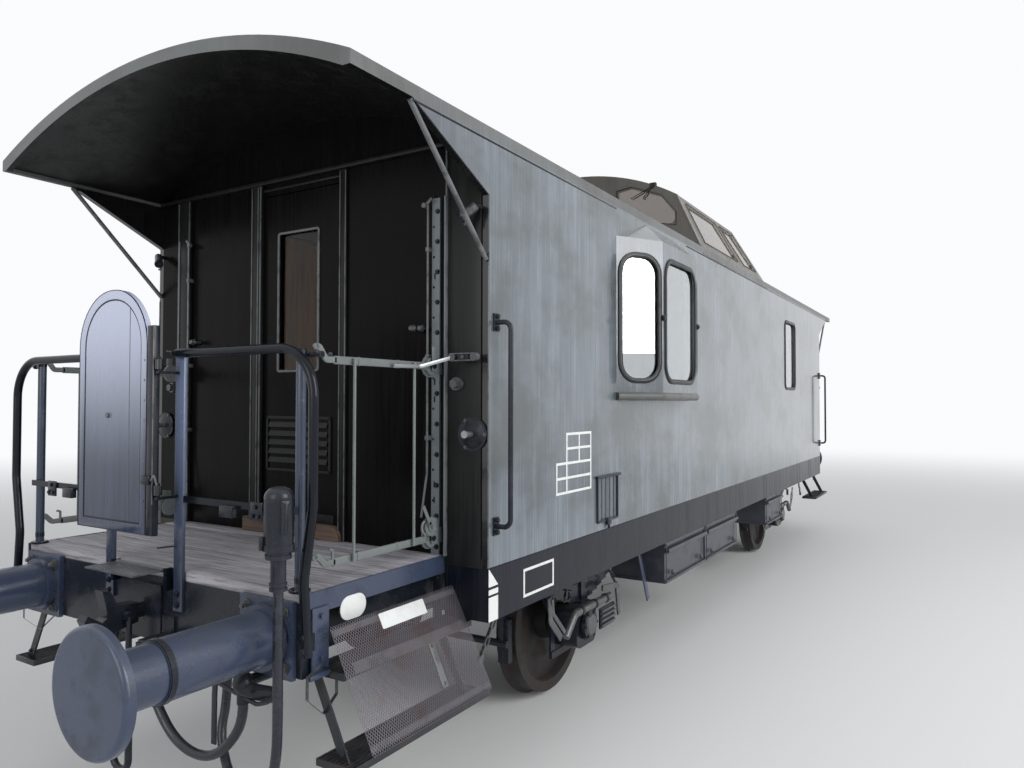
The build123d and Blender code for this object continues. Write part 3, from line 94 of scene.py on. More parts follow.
def add_rod(bm, start, end, radius, sides=20, end_radius=None):
    far = radius if end_radius is None else end_radius
    depth = (Vector(end) - Vector(start)).length
    bmesh.ops.create_cone(bm, cap_ends=True, segments=sides, radius1=radius, radius2=far, depth=depth,
                          matrix=along(start, end))


def add_bolt(bm, at, axis, size):
    """A hexagon head on a washer."""
    at, axis = Vector(at), Vector(axis).normalized()
    add_rod(bm, at, at + axis * size * 0.25, size * 1.35, 16)
    add_rod(bm, at + axis * size * 0.2, at + axis * size * 1.1, size, 6)


def add_rivet(bm, at, axis, size):
    at, axis = Vector(at), Vector(axis).normalized()
    add_rod(bm, at, at + axis * size * 0.3, size, 10, size * 0.9)
    add_rod(bm, at + axis * size * 0.3, at + axis * size * 0.6, size * 0.9, 10, size * 0.4)


def run_on(bm, edges, step):
    """Draws a ring of edges on by a step and gives the new ring."""
    grown = bmesh.ops.extrude_edge_only(bm, edges=edges)["geom"]
    verts = {item for item in grown if isinstance(item, bmesh.types.BMVert)}
    bmesh.ops.translate(bm, verts=list(verts), vec=step)
    return [item for item in grown if isinstance(item, bmesh.types.BMEdge) and verts.issuperset(item.verts)]


def sweep(bm, edges, points, bend):
    """Draws a closed ring of edges along straight runs with swept bends, and closes its end."""
    place = points[0]
    for here, after in zip(points[1:], points[2:]):
        into, out = (here - place).normalized(), (after - here).normalized()
        angle = into.angle(out)
        start = here - into * bend * math.tan(angle / 2)
        edges = run_on(bm, edges, start - place)
        axis = into.cross(out).normalized()
        spun = bmesh.ops.spin(bm, geom=edges, cent=start + axis.cross(into) * bend, axis=axis, angle=angle,
                              steps=max(2, round(math.degrees(angle) / 15)), use_merge=False,
                              use_duplicate=False)["geom_last"]
        edges = [item for item in spun if isinstance(item, bmesh.types.BMEdge)]
        place = here + out * bend * math.tan(angle / 2)
    edges = run_on(bm, edges, points[-1] - place)
    bmesh.ops.contextual_create(bm, geom=edges)


def add_tube(bm, points, radius, bend, sides=14):
    """A round bar with swept bends."""
    points = [Vector(point) for point in points]
    place = Matrix.Translation(points[0]) @ turn_to(points[1] - points[0])
    ring = bmesh.ops.create_circle(bm, cap_ends=True, segments=sides, radius=radius, matrix=place)
    sweep(bm, list({edge for vert in ring["verts"] for edge in vert.link_edges}), points, bend)


def add_bar(bm, points, thickness, height, across, corner=0.0015, bend=0.01):
    """A flat bar with swept bends; its thickness lies along a direction."""
    points = [Vector(point) for point in points]
    ahead, across = (points[1] - points[0]).normalized(), Vector(across).normalized()
    turn = Matrix((across, ahead.cross(across), ahead)).transposed().to_4x4()
    face = rounded_face(bm, Matrix.Translation(points[0]) @ turn, thickness, height, corner, 2)
    sweep(bm, list(face.edges), points, bend)


def draw_out(bm, faces, thickness, round_over=0.0):
    """Draws flat faces out by a thickness vector and rounds the rim of the far side."""
    grown = bmesh.ops.extrude_face_region(bm, geom=faces, use_keep_orig=True)["geom"]
    top = {item for item in grown if isinstance(item, bmesh.types.BMVert)}
    bmesh.ops.translate(bm, verts=list(top), vec=Vector(thickness))
    if round_over:
        rim = [item for item in grown if isinstance(item, bmesh.types.BMEdge)
               and sum(top.issuperset(side.verts) for side in item.link_faces) == 1]
        bevel(bm, rim, round_over)


def flat_face(bm, corners):
    return bm.faces.new([bm.verts.new(corner) for corner in corners])


def add_plate(bm, corners, thickness):
    """A flat outline drawn out by a thickness vector."""
    draw_out(bm, [flat_face(bm, corners)], thickness)


def ring_only(bm, face, band):
    """Leaves a band along the outline of a flat face and nothing else."""
    ring = bmesh.ops.inset_region(bm, faces=[face], thickness=band, use_even_offset=True,
                                  use_boundary=True)["faces"]
    bmesh.ops.delete(bm, geom=[item for item in bm.faces if item not in ring], context="FACES")
    return ring


def add_rim(bm, corners, band, thickness, round_over=0.0):
    """A flat ring inside an outline, drawn out by a thickness vector."""
    rim = bmesh.new()
    draw_out(rim, ring_only(rim, flat_face(rim, corners), band), thickness, round_over)
    join_in(bm, rim)


def rounded_face(bm, place, width, height, corner, steps=6):
    """A flat face with rounded corners, in the plane of a matrix."""
    others = set(bm.faces)
    grid = bmesh.ops.create_grid(bm, x_segments=1, y_segments=1, size=0.5,
                                 matrix=place @ Matrix.Diagonal((width, height, 1, 1)))
    bevel(bm, grid["verts"], corner, steps, "VERTICES")
    return max((face for face in bm.faces if face not in others), key=lambda face: len(face.verts))


def add_frame(bm, place, width, height, corner, band, depth, round_over=0.0):
    """A rounded rectangular ring that stands up from the plane of a matrix by a depth."""
    rim = bmesh.new()
    ring = ring_only(rim, rounded_face(rim, place, width, height, corner), band)
    draw_out(rim, ring, place.to_3x3() @ Z * depth, round_over)
    join_in(bm, rim)


def join_in(bm, other, place=HERE):
    """Adds another shape, moved to a place, and lets it go."""
    bmesh.ops.transform(other, matrix=place, verts=other.verts)
    if place.determinant() < 0:
        bmesh.ops.reverse_faces(other, faces=other.faces)
    carrier = bpy.data.meshes.new("carrier")
    other.to_mesh(carrier)
    other.free()
    bm.from_mesh(carrier)
    bpy.data.meshes.remove(carrier)


def facing(origin, across, up):
    """A matrix at a point whose X and Y run across and up, and whose Z faces out."""
    across, up = Vector(across).normalized(), Vector(up).normalized()
    out = across.cross(up)
    turn = Matrix((across, up, out)).transposed().to_4x4()
    return Matrix.Translation(origin) @ turn


def new_object(name, data):
    made = bpy.data.objects.new(name, data)
    bpy.context.collection.objects.link(made)
    return made


def make_piece(name, shape, finish, places=(HERE,), body="van", crease=32):
    """One finished object from a shape, copied to its places, riding on a body."""
    bmesh.ops.remove_doubles(shape, verts=shape.verts, dist=1e-6)
    bmesh.ops.recalc_face_normals(shape, faces=shape.faces)
    whole = bmesh.new()
    for place in places:
        join_in(whole, shape.copy(), place)
    shape.free()
    sharp = math.radians(crease)
    for face in whole.faces:
        face.smooth = True
    for edge in whole.edges:
        edge.smooth = edge.calc_face_angle(0.0) < sharp
    mesh = bpy.data.meshes.new(name)
    whole.to_mesh(mesh)
    whole.free()
    piece = new_object(name, mesh)
    mesh.materials.append(finishes[finish])
    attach(piece, body)
    return piece


def make_pair(name, shape, finish, body):
    """A piece on the near body of a pair, and its turned copy on the far one."""
    for end, place in (("near", HERE), ("far", TURNED)):
        make_piece(f"{name}_{end}", shape.copy(), finish, (place,), f"{body}_{end}")
    shape.free()


# Shader nodes
def set_socket(tree, socket, value):
    """Links a socket to another one, or gives it a plain value."""
    if isinstance(value, bpy.types.NodeSocket):
        tree.links.new(value, socket)
    else:
        socket.default_value = value


def add_node(tree, kind, links=None, **settings):
    made = tree.nodes.new("ShaderNode" + kind)
    for name, value in settings.items():
        setattr(made, name, value)
    for key, value in (links or {}).items():
        set_socket(tree, made.inputs[key], value)
    return made


def work_out(tree, way, first, second=0.0, clamp=False):
    return add_node(tree, "Math", {0: first, 1: second}, operation=way, use_clamp=clamp).outputs[0]


def times(tree, first, second):
    return work_out(tree, "MULTIPLY", first, second)


def object_place(tree, axis):
    """One of the Object coordinates, in metres."""
    return add_node(tree, "SeparateXYZ", {0: add_node(tree, "TexCoord").outputs["Object"]}).outputs[axis]


def upward(tree):
    """How far a face looks up, from -1 to 1."""
    return add_node(tree, "SeparateXYZ", {0: add_node(tree, "NewGeometry").outputs["Normal"]}).outputs["Z"]


def noise_on(tree, stretch, detail=3.0, rough=0.55, shift=(0, 0, 0)):
    """Noise on Object coordinates, at so many waves a metre along each axis."""
    place = add_node(tree, "TexCoord").outputs["Object"]
    mapped = add_node(tree, "Mapping", {"Vector": place, "Scale": stretch, "Location": shift})
    return add_node(tree, "TexNoise", {"Vector": mapped.outputs["Vector"], "Scale": 1.0, "Detail": detail,
                                       "Roughness": rough}).outputs["Fac"]


def ramp_between(tree, value, low, high):
    made = add_node(tree, "MapRange", {"Value": value, "From Min": low, "From Max": high},
                    interpolation_type="SMOOTHSTEP")
    return made.outputs["Result"]


def blend_colour(tree, amount, first, second):
    return add_node(tree, "Mix", {"Factor": amount, 6: first, 7: second}, data_type="RGBA").outputs[2]


def add_bump(tree, strength, distance, height, under=None):
    """The normal after a height, on top of another normal."""
    links = {"Strength": strength, "Distance": distance, "Height": height}
    if under:
        links["Normal"] = under
    return add_node(tree, "Bump", links).outputs["Normal"]


def grey(level):
    return (level, level, level, 1.0)


GIVEN = {"Colour": "NodeSocketColor", "Roughness": "NodeSocketFloat", "Normal": "NodeSocketVector"}


def new_group(name, inputs):
    group = bpy.data.node_groups.new(name, "ShaderNodeTree")
    for label, value in inputs.items():
        kind = "NodeSocketColor" if isinstance(value, tuple) else "NodeSocketFloat"
        group.interface.new_socket(label, in_out="INPUT", socket_type=kind).default_value = value
    for label, kind in GIVEN.items():
        group.interface.new_socket(label, in_out="OUTPUT", socket_type=kind)
    return group, group.nodes.new("NodeGroupInput").outputs


def hand_out(group, *sockets):
    """Gives a group's colour, roughness and normal to its outputs."""
    outputs = group.nodes.new("NodeGroupOutput").inputs
    for label, socket in zip(GIVEN, sockets):
        group.links.new(socket, outputs[label])


# Group: gloss paint with rain streaks down it and a slow ripple in the sheet
streaked, had = new_group("streaked_paint", {
    "Colour": grey(0.1), "Streak Colour": grey(0.2), "Streaks": 0.5, "Grime And Reflection Colour": grey(0.03), "Grime And Reflection": 0.3,
    "Roughness": 0.3, "Roughness Spread": 0.15, "Ripple": 0.2, "Grain": 0.02})
wide = ramp_between(streaked, noise_on(streaked, (11, 11, 0.7), 4.0, 0.6), 0.42, 0.72)
fine = ramp_between(streaked, noise_on(streaked, (75, 75, 1.6), 3.0, 0.6, (3, 1, 0)), 0.46, 0.75)
both = work_out(streaked, "ADD", wide, fine)
# A slow cloud: grime on most paints, and on the body paint partly painted reflection
cloud = ramp_between(streaked, noise_on(streaked, (1.5, 1.5, 1.9), 5.0, 0.6, (7, 2, 5)), 0.4, 0.68)
share = times(streaked, both, times(streaked, had["Streaks"], 0.5))
colour = blend_colour(streaked, share, had["Colour"], had["Streak Colour"])
colour = blend_colour(streaked, times(streaked, cloud, had["Grime And Reflection"]), colour, had["Grime And Reflection Colour"])
rough = work_out(streaked, "ADD", times(streaked, both, had["Roughness Spread"]), had["Roughness"])
swell = noise_on(streaked, (3.2, 3.2, 0.9), 2.0, 0.5, (1, 4, 2))
brush = noise_on(streaked, (28, 28, 1.1), 2.0, 0.5, (5, 5, 5))
peel = noise_on(streaked, (260, 260, 260), 1.0, 0.5)
bump = add_bump(streaked, had["Ripple"], 0.012, swell)
bump = add_bump(streaked, had["Ripple"], 0.0012, brush, bump)
bump = add_bump(streaked, had["Grain"], 0.002, peel, bump)
hand_out(streaked, colour, rough, bump)

# Group: worn metal, mottled and speckled, with dust on what faces up
worn, had = new_group("worn_metal", {
    "Colour": grey(0.05), "Patch Colour": grey(0.1), "Patches": 0.5, "Patch Size": 6.0,
    "Dust Colour": grey(0.2), "Dust": 0.3, "Roughness": 0.35, "Roughness Spread": 0.3, "Pitting": 0.1})
size = add_node(worn, "CombineXYZ", {axis: had["Patch Size"] for axis in range(3)}).outputs[0]
place = add_node(worn, "TexCoord").outputs["Object"]
scaled = add_node(worn, "VectorMath", {0: place, 1: size}, operation="MULTIPLY").outputs[0]
broad = add_node(worn, "TexNoise",
                 {"Vector": scaled, "Scale": 1.0, "Detail": 6.0, "Roughness": 0.62}).outputs["Fac"]
patch = ramp_between(worn, broad, 0.48, 0.66)
speck = ramp_between(worn, noise_on(worn, (170, 170, 170), 3.0, 0.6), 0.56, 0.66)
colour = blend_colour(worn, times(worn, patch, had["Patches"]), had["Colour"], had["Patch Colour"])
lying = times(worn, ramp_between(worn, upward(worn), 0.35, 0.95), had["Dust"])
specks = times(worn, speck, times(worn, had["Dust"], 0.5))
settled = work_out(worn, "ADD", lying, specks, True)
colour = blend_colour(worn, settled, colour, had["Dust Colour"])
rough = work_out(worn, "ADD", times(worn, patch, had["Roughness Spread"]), had["Roughness"])
rough = work_out(worn, "ADD", rough, times(worn, settled, 0.3), True)
bump = add_bump(worn, had["Pitting"], 0.003, broad)
bump = add_bump(worn, had["Pitting"], 0.001, speck, bump)
hand_out(worn, colour, rough, bump)


# Group: weathered planks, with the grain along Y or, for upright boards, along Z
def plank_group(name, grain, across):
    planks, had = new_group(name, {
        "Colour": grey(0.2), "Dark Colour": grey(0.06), "Grain": 0.6, "Tone Shift": 0.3, "Roughness": 0.7,
        "Relief": 0.3})
    lines = noise_on(planks, grain, 5.0, 0.65)
    pores = times(planks, ramp_between(planks, lines, 0.44, 0.66), had["Grain"])
    tone = ramp_between(planks, noise_on(planks, across, 2.0, 0.5, (9, 3, 1)), 0.35, 0.7)
    colour = blend_colour(planks, pores, had["Colour"], had["Dark Colour"])
    colour = blend_colour(planks, times(planks, tone, had["Tone Shift"]), colour, had["Dark Colour"])
    rough = work_out(planks, "ADD", times(planks, lines, 0.2), had["Roughness"], True)
    hand_out(planks, colour, rough, add_bump(planks, had["Relief"], 0.004, lines))
    return planks


cross_planks = plank_group("cross_planks", (70, 3.0, 70), (6.3, 0.6, 6.3))
upright_planks = plank_group("upright_planks", (60, 60, 2.5), (9.0, 9.0, 0.5))

# Finishes: each row has the values of its group's inputs, in their order
# Colour, streak colour, streaks, grime and reflection colour, grime and reflection, roughness, its spread,
# ripple, grain
STREAKED = {
    # On the body paint the cloud is partly grime and partly painted reflection, the cloudy light and shade
    # on the sheet
    "body_paint": ((0.108, 0.13, 0.152), (0.262, 0.3, 0.345), 0.75, (0.054, 0.064, 0.068), 0.85, 0.16,
        0.12, 0.35, 0.03),
    "roof_paint": ((0.125, 0.132, 0.134), (0.24, 0.25, 0.255), 0.45, (0.065, 0.063, 0.058), 0.6, 0.36,
        0.15, 0.25, 0.05),
    "band_paint": ((0.006, 0.008, 0.014), (0.026, 0.03, 0.043), 0.4, (0.02, 0.019, 0.022), 0.3, 0.2,
        0.15, 0.3, 0.04),
    # Painted shade: the bulkheads and end doors are made near black for the dark of the recess under the
    # roof
    "bulkhead_paint": ((0.0042, 0.004, 0.0043), (0.009, 0.0085, 0.0085), 0.4, (0.009, 0.0075, 0.007),
        0.3, 0.22, 0.12, 0.3, 0.05),
    "post_paint": ((0.012, 0.0125, 0.0125), (0.035, 0.036, 0.037), 0.5, (0.01, 0.01, 0.01), 0.4, 0.3,
        0.15, 0.2, 0.05),
    "foot_paint": ((0.105, 0.11, 0.105), (0.2, 0.21, 0.2), 0.5, (0.05, 0.05, 0.045), 0.5, 0.35, 0.2,
        0.2, 0.05),
    # The leaf paint's dark base is painted shade on the lower part of the leaves
    "leaf_paint": ((0.028, 0.042, 0.08), (0.12, 0.15, 0.24), 0.4, (0.018, 0.026, 0.05), 0.45, 0.15,
        0.15, 0.8, 0.06),
    "cupola_paint": ((0.085, 0.076, 0.064), (0.2, 0.19, 0.175), 0.4, (0.045, 0.038, 0.03), 0.6, 0.28,
        0.15, 0.3, 0.05),
}
# Colour, patch colour, patches, patch size, dust colour, dust, roughness, its spread, pitting
WORN = {
    "black_paint": ((0.01, 0.013, 0.02), (0.024, 0.028, 0.038), 0.5, 6.0, (0.12, 0.115, 0.11), 0.25,
        0.2, 0.2, 0.12),
    "gate_paint": ((0.15, 0.17, 0.165), (0.09, 0.1, 0.1), 0.5, 6.0, (0.22, 0.21, 0.2), 0.2, 0.32, 0.2,
        0.15),
    # The wheels' near black is partly painted shade, the dark under the body
    "wheel_steel": ((0.016, 0.014, 0.014), (0.034, 0.022, 0.016), 0.7, 6.0, (0.07, 0.06, 0.052), 0.35,
        0.5, 0.3, 0.5),
    "rusty_mesh": ((0.165, 0.15, 0.175), (0.15, 0.085, 0.065), 0.55, 7.0, (0.2, 0.18, 0.18), 0.3, 0.4,
        0.3, 0.3),
    "bright_steel": ((0.38, 0.39, 0.4), (0.2, 0.2, 0.2), 0.6, 6.0, (0.25, 0.23, 0.21), 0.1, 0.3, 0.2,
        0.1),
    "black_rubber": ((0.006, 0.0065, 0.008), (0.015, 0.015, 0.017), 0.4, 6.0, (0.06, 0.06, 0.06), 0.12,
        0.35, 0.15, 0.1),
    "hose_rubber": ((0.01, 0.013, 0.021), (0.024, 0.029, 0.042), 0.5, 22.0, (0.1, 0.1, 0.11), 0.2,
        0.26, 0.2, 0.15),
    "step_paint": ((0.013, 0.016, 0.022), (0.05, 0.032, 0.025), 0.5, 9.0, (0.1, 0.095, 0.09), 0.3,
        0.34, 0.3, 0.3),
    "rubbed_grey": ((0.125, 0.13, 0.135), (0.035, 0.036, 0.038), 0.8, 11.0, (0.22, 0.21, 0.2), 0.2,
        0.3, 0.2, 0.15),
    "rail_paint": ((0.15, 0.17, 0.18), (0.085, 0.095, 0.1), 0.5, 6.0, (0.24, 0.25, 0.25), 0.2, 0.3,
        0.2, 0.15),
    "fitting_grey": ((0.085, 0.088, 0.092), (0.17, 0.175, 0.18), 0.7, 30.0, (0.22, 0.21, 0.2), 0.2,
        0.28, 0.2, 0.2),
    "railing_paint": ((0.028, 0.038, 0.065), (0.016, 0.021, 0.034), 0.5, 6.0, (0.1, 0.1, 0.11), 0.15,
        0.2, 0.15, 0.1),
    "post_blue": ((0.03, 0.042, 0.07), (0.05, 0.065, 0.1), 0.5, 6.0, (0.1, 0.1, 0.11), 0.15, 0.16,
        0.15, 0.1),
    "white_paint": ((0.74, 0.75, 0.74), (0.52, 0.52, 0.5), 0.35, 12.0, (0.4, 0.38, 0.35), 0.2, 0.4,
        0.2, 0.05),
    "edge_paint": ((0.038, 0.053, 0.095), (0.02, 0.026, 0.044), 0.6, 6.0, (0.13, 0.14, 0.17), 0.3,
        0.22, 0.2, 0.15),
    "cupola_trim": ((0.21, 0.19, 0.165), (0.1, 0.09, 0.08), 0.5, 8.0, (0.3, 0.28, 0.25), 0.2, 0.35,
        0.2, 0.1),
    "railing_black": ((0.0055, 0.0075, 0.012), (0.012, 0.015, 0.022), 0.5, 6.0, (0.05, 0.05, 0.055),
        0.15, 0.14, 0.12, 0.06),
    "box_paint": ((0.04, 0.045, 0.058), (0.065, 0.07, 0.085), 0.5, 6.0, (0.12, 0.12, 0.12), 0.2, 0.3,
        0.2, 0.1),
    "tread_plate": ((0.075, 0.08, 0.095), (0.13, 0.135, 0.15), 0.6, 9.0, (0.17, 0.17, 0.18), 0.3, 0.35,
        0.2, 0.2),
}
# Colour, dark colour, grain, tone shift, roughness, relief
CROSS_PLANKS = {
    "platform_timber": ((0.44, 0.425, 0.46), (0.075, 0.068, 0.075), 0.7, 0.35, 0.6, 0.6),
    "brown_timber": ((0.16, 0.105, 0.075), (0.05, 0.032, 0.025), 0.7, 0.4, 0.6, 0.4),
    "dark_floor": ((0.035, 0.03, 0.026), (0.01, 0.009, 0.008), 0.6, 0.4, 0.6, 0.3),
}
UPRIGHT_PLANKS = {
    # The lining's bright orange is partly painted light, in place of daylight through the windows
    "lining_wood_and_painted_light": ((0.95, 0.4, 0.11), (0.5, 0.16, 0.03), 0.5, 0.35, 0.42, 0.15),
}
# Values on the Principled shader's own sockets
SHADER_VALUES = {
    "body_paint": {"Coat Weight": 0.6, "Coat Roughness": 0.08},
    "band_paint": {"Specular IOR Level": 0.22}, "bulkhead_paint": {"Specular IOR Level": 0.07},
    "black_paint": {"Specular IOR Level": 0.3}, "wheel_steel": {"Metallic": 0.2},
    "rusty_mesh": {"Metallic": 0.25}, "bright_steel": {"Metallic": 0.85},
    "lining_wood_and_painted_light": {"Specular IOR Level": 0.3}, "black_rubber": {"Specular IOR Level": 0.3},
    "post_paint": {"Specular IOR Level": 0.2}, "fitting_grey": {"Metallic": 0.4},
    "leaf_paint": {"Coat Weight": 0.2, "Coat Roughness": 0.06},
    "railing_black": {"Specular IOR Level": 0.22}, "tread_plate": {"Metallic": 0.3},
}
finishes = {}


def new_shader(name):
    """The node tree and the Principled shader of a new finish."""
    finishes[name] = material = bpy.data.materials.new(name)
    material.use_nodes = True
    return material.node_tree, material.node_tree.nodes["Principled BSDF"]


def new_finish(name, group, values):
    """A finish whose Principled shader takes colour, roughness and normal from a group."""
    tree, shader = new_shader(name)
    finish = add_node(tree, "Group", node_tree=group)
    for socket, value in zip(finish.inputs, values):
        socket.default_value = (*value, 1.0) if isinstance(value, tuple) else value
    for label, socket in zip(("Base Color", "Roughness", "Normal"), finish.outputs):
        tree.links.new(socket, shader.inputs[label])
    for label, value in SHADER_VALUES.get(name, {}).items():
        shader.inputs[label].default_value = value


for group, rows in ((streaked, STREAKED), (worn, WORN), (cross_planks, CROSS_PLANKS),
                    (upright_planks, UPRIGHT_PLANKS)):
    for name, values in rows.items():
        new_finish(name, group, values)


def tint_where(name, share, colour):
    """Gives a finish another colour by a share that a function works out."""
    tree = finishes[name].node_tree
    base = tree.nodes["Principled BSDF"].inputs["Base Color"]
    tree.links.new(blend_colour(tree, share(tree), base.links[0].from_socket, (*colour, 1.0)), base)


def inside_of_side(tree):
    """1 on the inner faces of the side walls."""
    skin = 0.006
    return work_out(tree, "LESS_THAN", work_out(tree, "ABSOLUTE", object_place(tree, "Y")), BODY_Y - skin)


def leaf_eyes(tree):
    """1 on the hinge eyes of either gangway leaf, beyond its stile."""
    stile_product = 1.09
    product = times(tree, object_place(tree, "X"), object_place(tree, "Y"))
    return work_out(tree, "GREATER_THAN", product, stile_product)


def faces_down(tree):
    return work_out(tree, "LESS_THAN", upward(tree), -0.3)


def ceiling(tree):
    """1 on what faces down between the bulkheads."""
    within = work_out(tree, "LESS_THAN", work_out(tree, "ABSOLUTE", object_place(tree, "X")), BODY_X - WALL)
    return times(tree, faces_down(tree), within)


def height_share(low, high, share):
    """A share that grows between two heights."""
    return lambda tree: times(tree, ramp_between(tree, object_place(tree, "Z"), low, high), share)


CEILING = (0.62, 0.6, 0.54)
for name, share, colour in (
    ("body_paint", inside_of_side, (0.01, 0.01, 0.0095)),
    # Painted shade: the roof's undersides over the platforms and along the eaves are near black
    ("roof_paint", faces_down, (0.003, 0.003, 0.003)),
    ("roof_paint", ceiling, CEILING),
    ("cupola_paint", faces_down, CEILING),
    # Painted light and shade: the railing post faces are darker below and lighter towards the top
    ("railing_paint", height_share(1.15, 2.25, 0.8), (0.19, 0.235, 0.37)),
    # Painted reflection: the gangway leaves turn lighter towards the top, above the painted shade of their
    # dark base
    ("leaf_paint", height_share(1.7, 2.55, 0.85), (0.66, 0.7, 0.88)),
    ("leaf_paint", leaf_eyes, (0.006, 0.007, 0.01)),
):
    tint_where(name, share, colour)


def glass_material(name, tint, mirror, bending):
    """Glass with a little wave in it, smoked above the eaves; a mirror share shows the sky."""
    tree, shader = new_shader(name)
    smear = ramp_between(tree, noise_on(tree, (5, 5, 3), 4.0, 0.6), 0.45, 0.8)
    above = ramp_between(tree, object_place(tree, "Z"), EAVE_Z, EAVE_Z + 0.01)
    shaded = blend_colour(tree, above, (*tint, 1.0), (0.46, 0.42, 0.39, 1.0))
    colour = blend_colour(tree, times(tree, smear, 0.12), shaded, (0.6, 0.6, 0.58, 1.0))
    tree.links.new(colour, shader.inputs["Base Color"])
    tree.links.new(times(tree, smear, 0.05), shader.inputs["Roughness"])
    tree.links.new(add_bump(tree, 0.08, 0.004, noise_on(tree, (2, 2, 2), 1.0)), shader.inputs["Normal"])
    shader.inputs["Transmission Weight"].default_value = 1.0
    shader.inputs["Metallic"].default_value = mirror
    shader.inputs["IOR"].default_value = bending


glass_material("clear_glass", (0.93, 0.96, 0.95), 0.0, 1.22)
glass_material("sky_glass", (0.9, 0.94, 0.97), 0.35, 1.5)

NODES_BY_FINISH = {
    "roof_paint": "roof",
    "cupola_paint": "cupola",
    "body_paint": "side_wall_left side_wall_right bay_left bay_right",
    "band_paint": "skirts",
    "bulkhead_paint": "end_wall_near end_wall_far end_door_near end_door_far",
    "clear_glass": "door_pane_near door_pane_far",
    "sky_glass": "glazing",
    "dark_floor": "body_floor",
    "platform_timber": "platform_boards",
    "wheel_steel": "wheelset_near wheelset_far",
    "rail_paint": "gate_rails",
    "leaf_paint": "gangway_leaf_near gangway_leaf_far",
    "box_paint": "equipment_boxes",
    "edge_paint": "platform_edges buffers",
    "railing_black": "end_railing_near end_railing_far",
    "tread_plate": "bridge_plate_near bridge_plate_far",
}
node_finish = {name: finish for finish, names in NODES_BY_FINISH.items() for name in names.split()}
for name, item in nodes.items():
    finish = node_finish.get(name, "gate_paint" if name.startswith("gate_") else "black_paint")
    item.data.materials.clear()
    item.data.materials.append(finishes[finish])


# Cords: the routes' points as in the CAD, in metres
def lay_cord(name, points, diameter, replaced):
    curve = bpy.data.curves.new(name, "CURVE")
    curve.dimensions = "3D"
    spline = curve.splines.new("NURBS")
    spline.points.add(len(points) - 1)
    for point, place in zip(spline.points, points):
        point.co = (*place, 1.0)
    spline.order_u = 3
    spline.use_endpoint_u = True
    curve.resolution_u = 16
    curve.bevel_depth = diameter / 2
    curve.bevel_resolution = 6
    curve.use_fill_caps = True
    piece = new_object(name, curve)
    curve.materials.append(finishes["hose_rubber"])
    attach(piece, "van")
    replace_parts(piece, replaced)


lay_cord("hose_line", [
    (-5.66, -0.8, 0.811), (-5.66, -0.8, 0.736), (-5.674, -0.74, 0.636), (-5.686, -0.64, 0.561),
    (-5.69, -0.515, 0.546), (-5.694, -0.39, 0.586), (-5.698, -0.295, 0.676), (-5.7, -0.215, 0.798),
    (-5.7, -0.215, 0.868),
], 0.042, "brake_hose")
lay_cord("jumper_line", [
    (-5.735, -1.09, 1.331), (-5.735, -1.09, 1.121), (-5.743, -1.102, 0.901), (-5.743, -1.1, 0.691),
    (-5.737, -1.05, 0.541), (-5.71, -0.94, 0.431), (-5.665, -0.79, 0.411), (-5.617, -0.65, 0.481),
    (-5.587, -0.56, 0.601), (-5.55, -0.56, 0.741), (-5.55, -0.56, 0.886),
], 0.04, "jumper_cable")

# Platforms: boards laid across, with open joints
PLATFORM_END_X = 5.585
UNDER_FLOOR_Z = 1.236
BOARDS = 7

boards = bmesh.new()
pitch = (PLATFORM_END_X - BODY_X) / BOARDS
for number in range(BOARDS):
    start = -PLATFORM_END_X + number * pitch
    dip = 0.0015 * (number % 3)
    end = start + pitch
    add_block(boards, (start + 0.003, -1.07, UNDER_FLOOR_Z), (end - 0.003, 1.07, FLOOR_Z - dip), 0.003)
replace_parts(make_piece("platform_planks", boards, "platform_timber", (HERE, FAR)), "platform_boards")
sill = bmesh.new()
made = bmesh.ops.create_cube(sill, size=1, matrix=Matrix.Translation((-BODY_X - 0.022, 0.0285, 1.3235))
                             @ Matrix.Diagonal((0.044, 0.797, 0.085, 1)))
corners = [edge for edge in sill.edges if all(vert.co.y < -0.3 and vert.co.z > 1.35 for vert in edge.verts)]
bevel(sill, corners, 0.07, 8)
bevel(sill, sill.edges[:], 0.003, 1)
make_piece("door_sill", sill, "brown_timber", BOTH_ENDS)

# Steps: open treads and their hangers, as the CAD has them
STEP_TREADS = ((-5.475, -4.552, -1.19, 0.946), (-5.54, -4.552, -1.3, 0.611))
TREAD_DEPTH = 0.2
TREAD_THICKNESS = 0.03
STEP_HANGERS = (-5.5, -4.667)
HANGER_OUTLINE = (
    (-1.08, 1.191), (-1.08, 0.931), (-1.25, 0.596), (-1.2, 0.596), (-1.03, 0.931), (-1.03, 1.021),
    (-1.006, 1.021), (-1.006, 1.071), (-1.03, 1.071), (-1.03, 1.191),
)

steps = bmesh.new()
for start, end, outer, top in STEP_TREADS:
    low, inner = top - TREAD_THICKNESS, outer + TREAD_DEPTH
    for y in (outer, inner - 0.006):
        add_block(steps, (start, y, low), (end, y + 0.006, top), 0.0015)
    for x in (start, end - 0.006):
        add_block(steps, (x, outer + 0.004, low), (x + 0.006, inner - 0.004, top), 0.001)
    for number in range(1, 9):
        y = outer + number * TREAD_DEPTH / 9
        add_block(steps, (start + 0.004, y - 0.002, low + 0.003), (end - 0.004, y + 0.002, top - 0.001))
    rods = round((end - start) / 0.09)
    for number in range(1, rods):
        x = start + (end - start) * number / rods
        add_block(steps, (x - 0.003, outer + 0.004, low + 0.006), (x + 0.003, inner - 0.004, low + 0.014))
for x in STEP_HANGERS:
    add_plate(steps, [(x, y, z) for y, z in HANGER_OUTLINE], (0.01, 0, 0))
    for y, z in ((-1.055, 1.165), (-1.055, 1.06), (-1.068, 0.965), (-1.215, 0.64)):
        add_bolt(steps, (x, y, z), -X, 0.009)
        add_bolt(steps, (x + 0.01, y, z), X, 0.009)
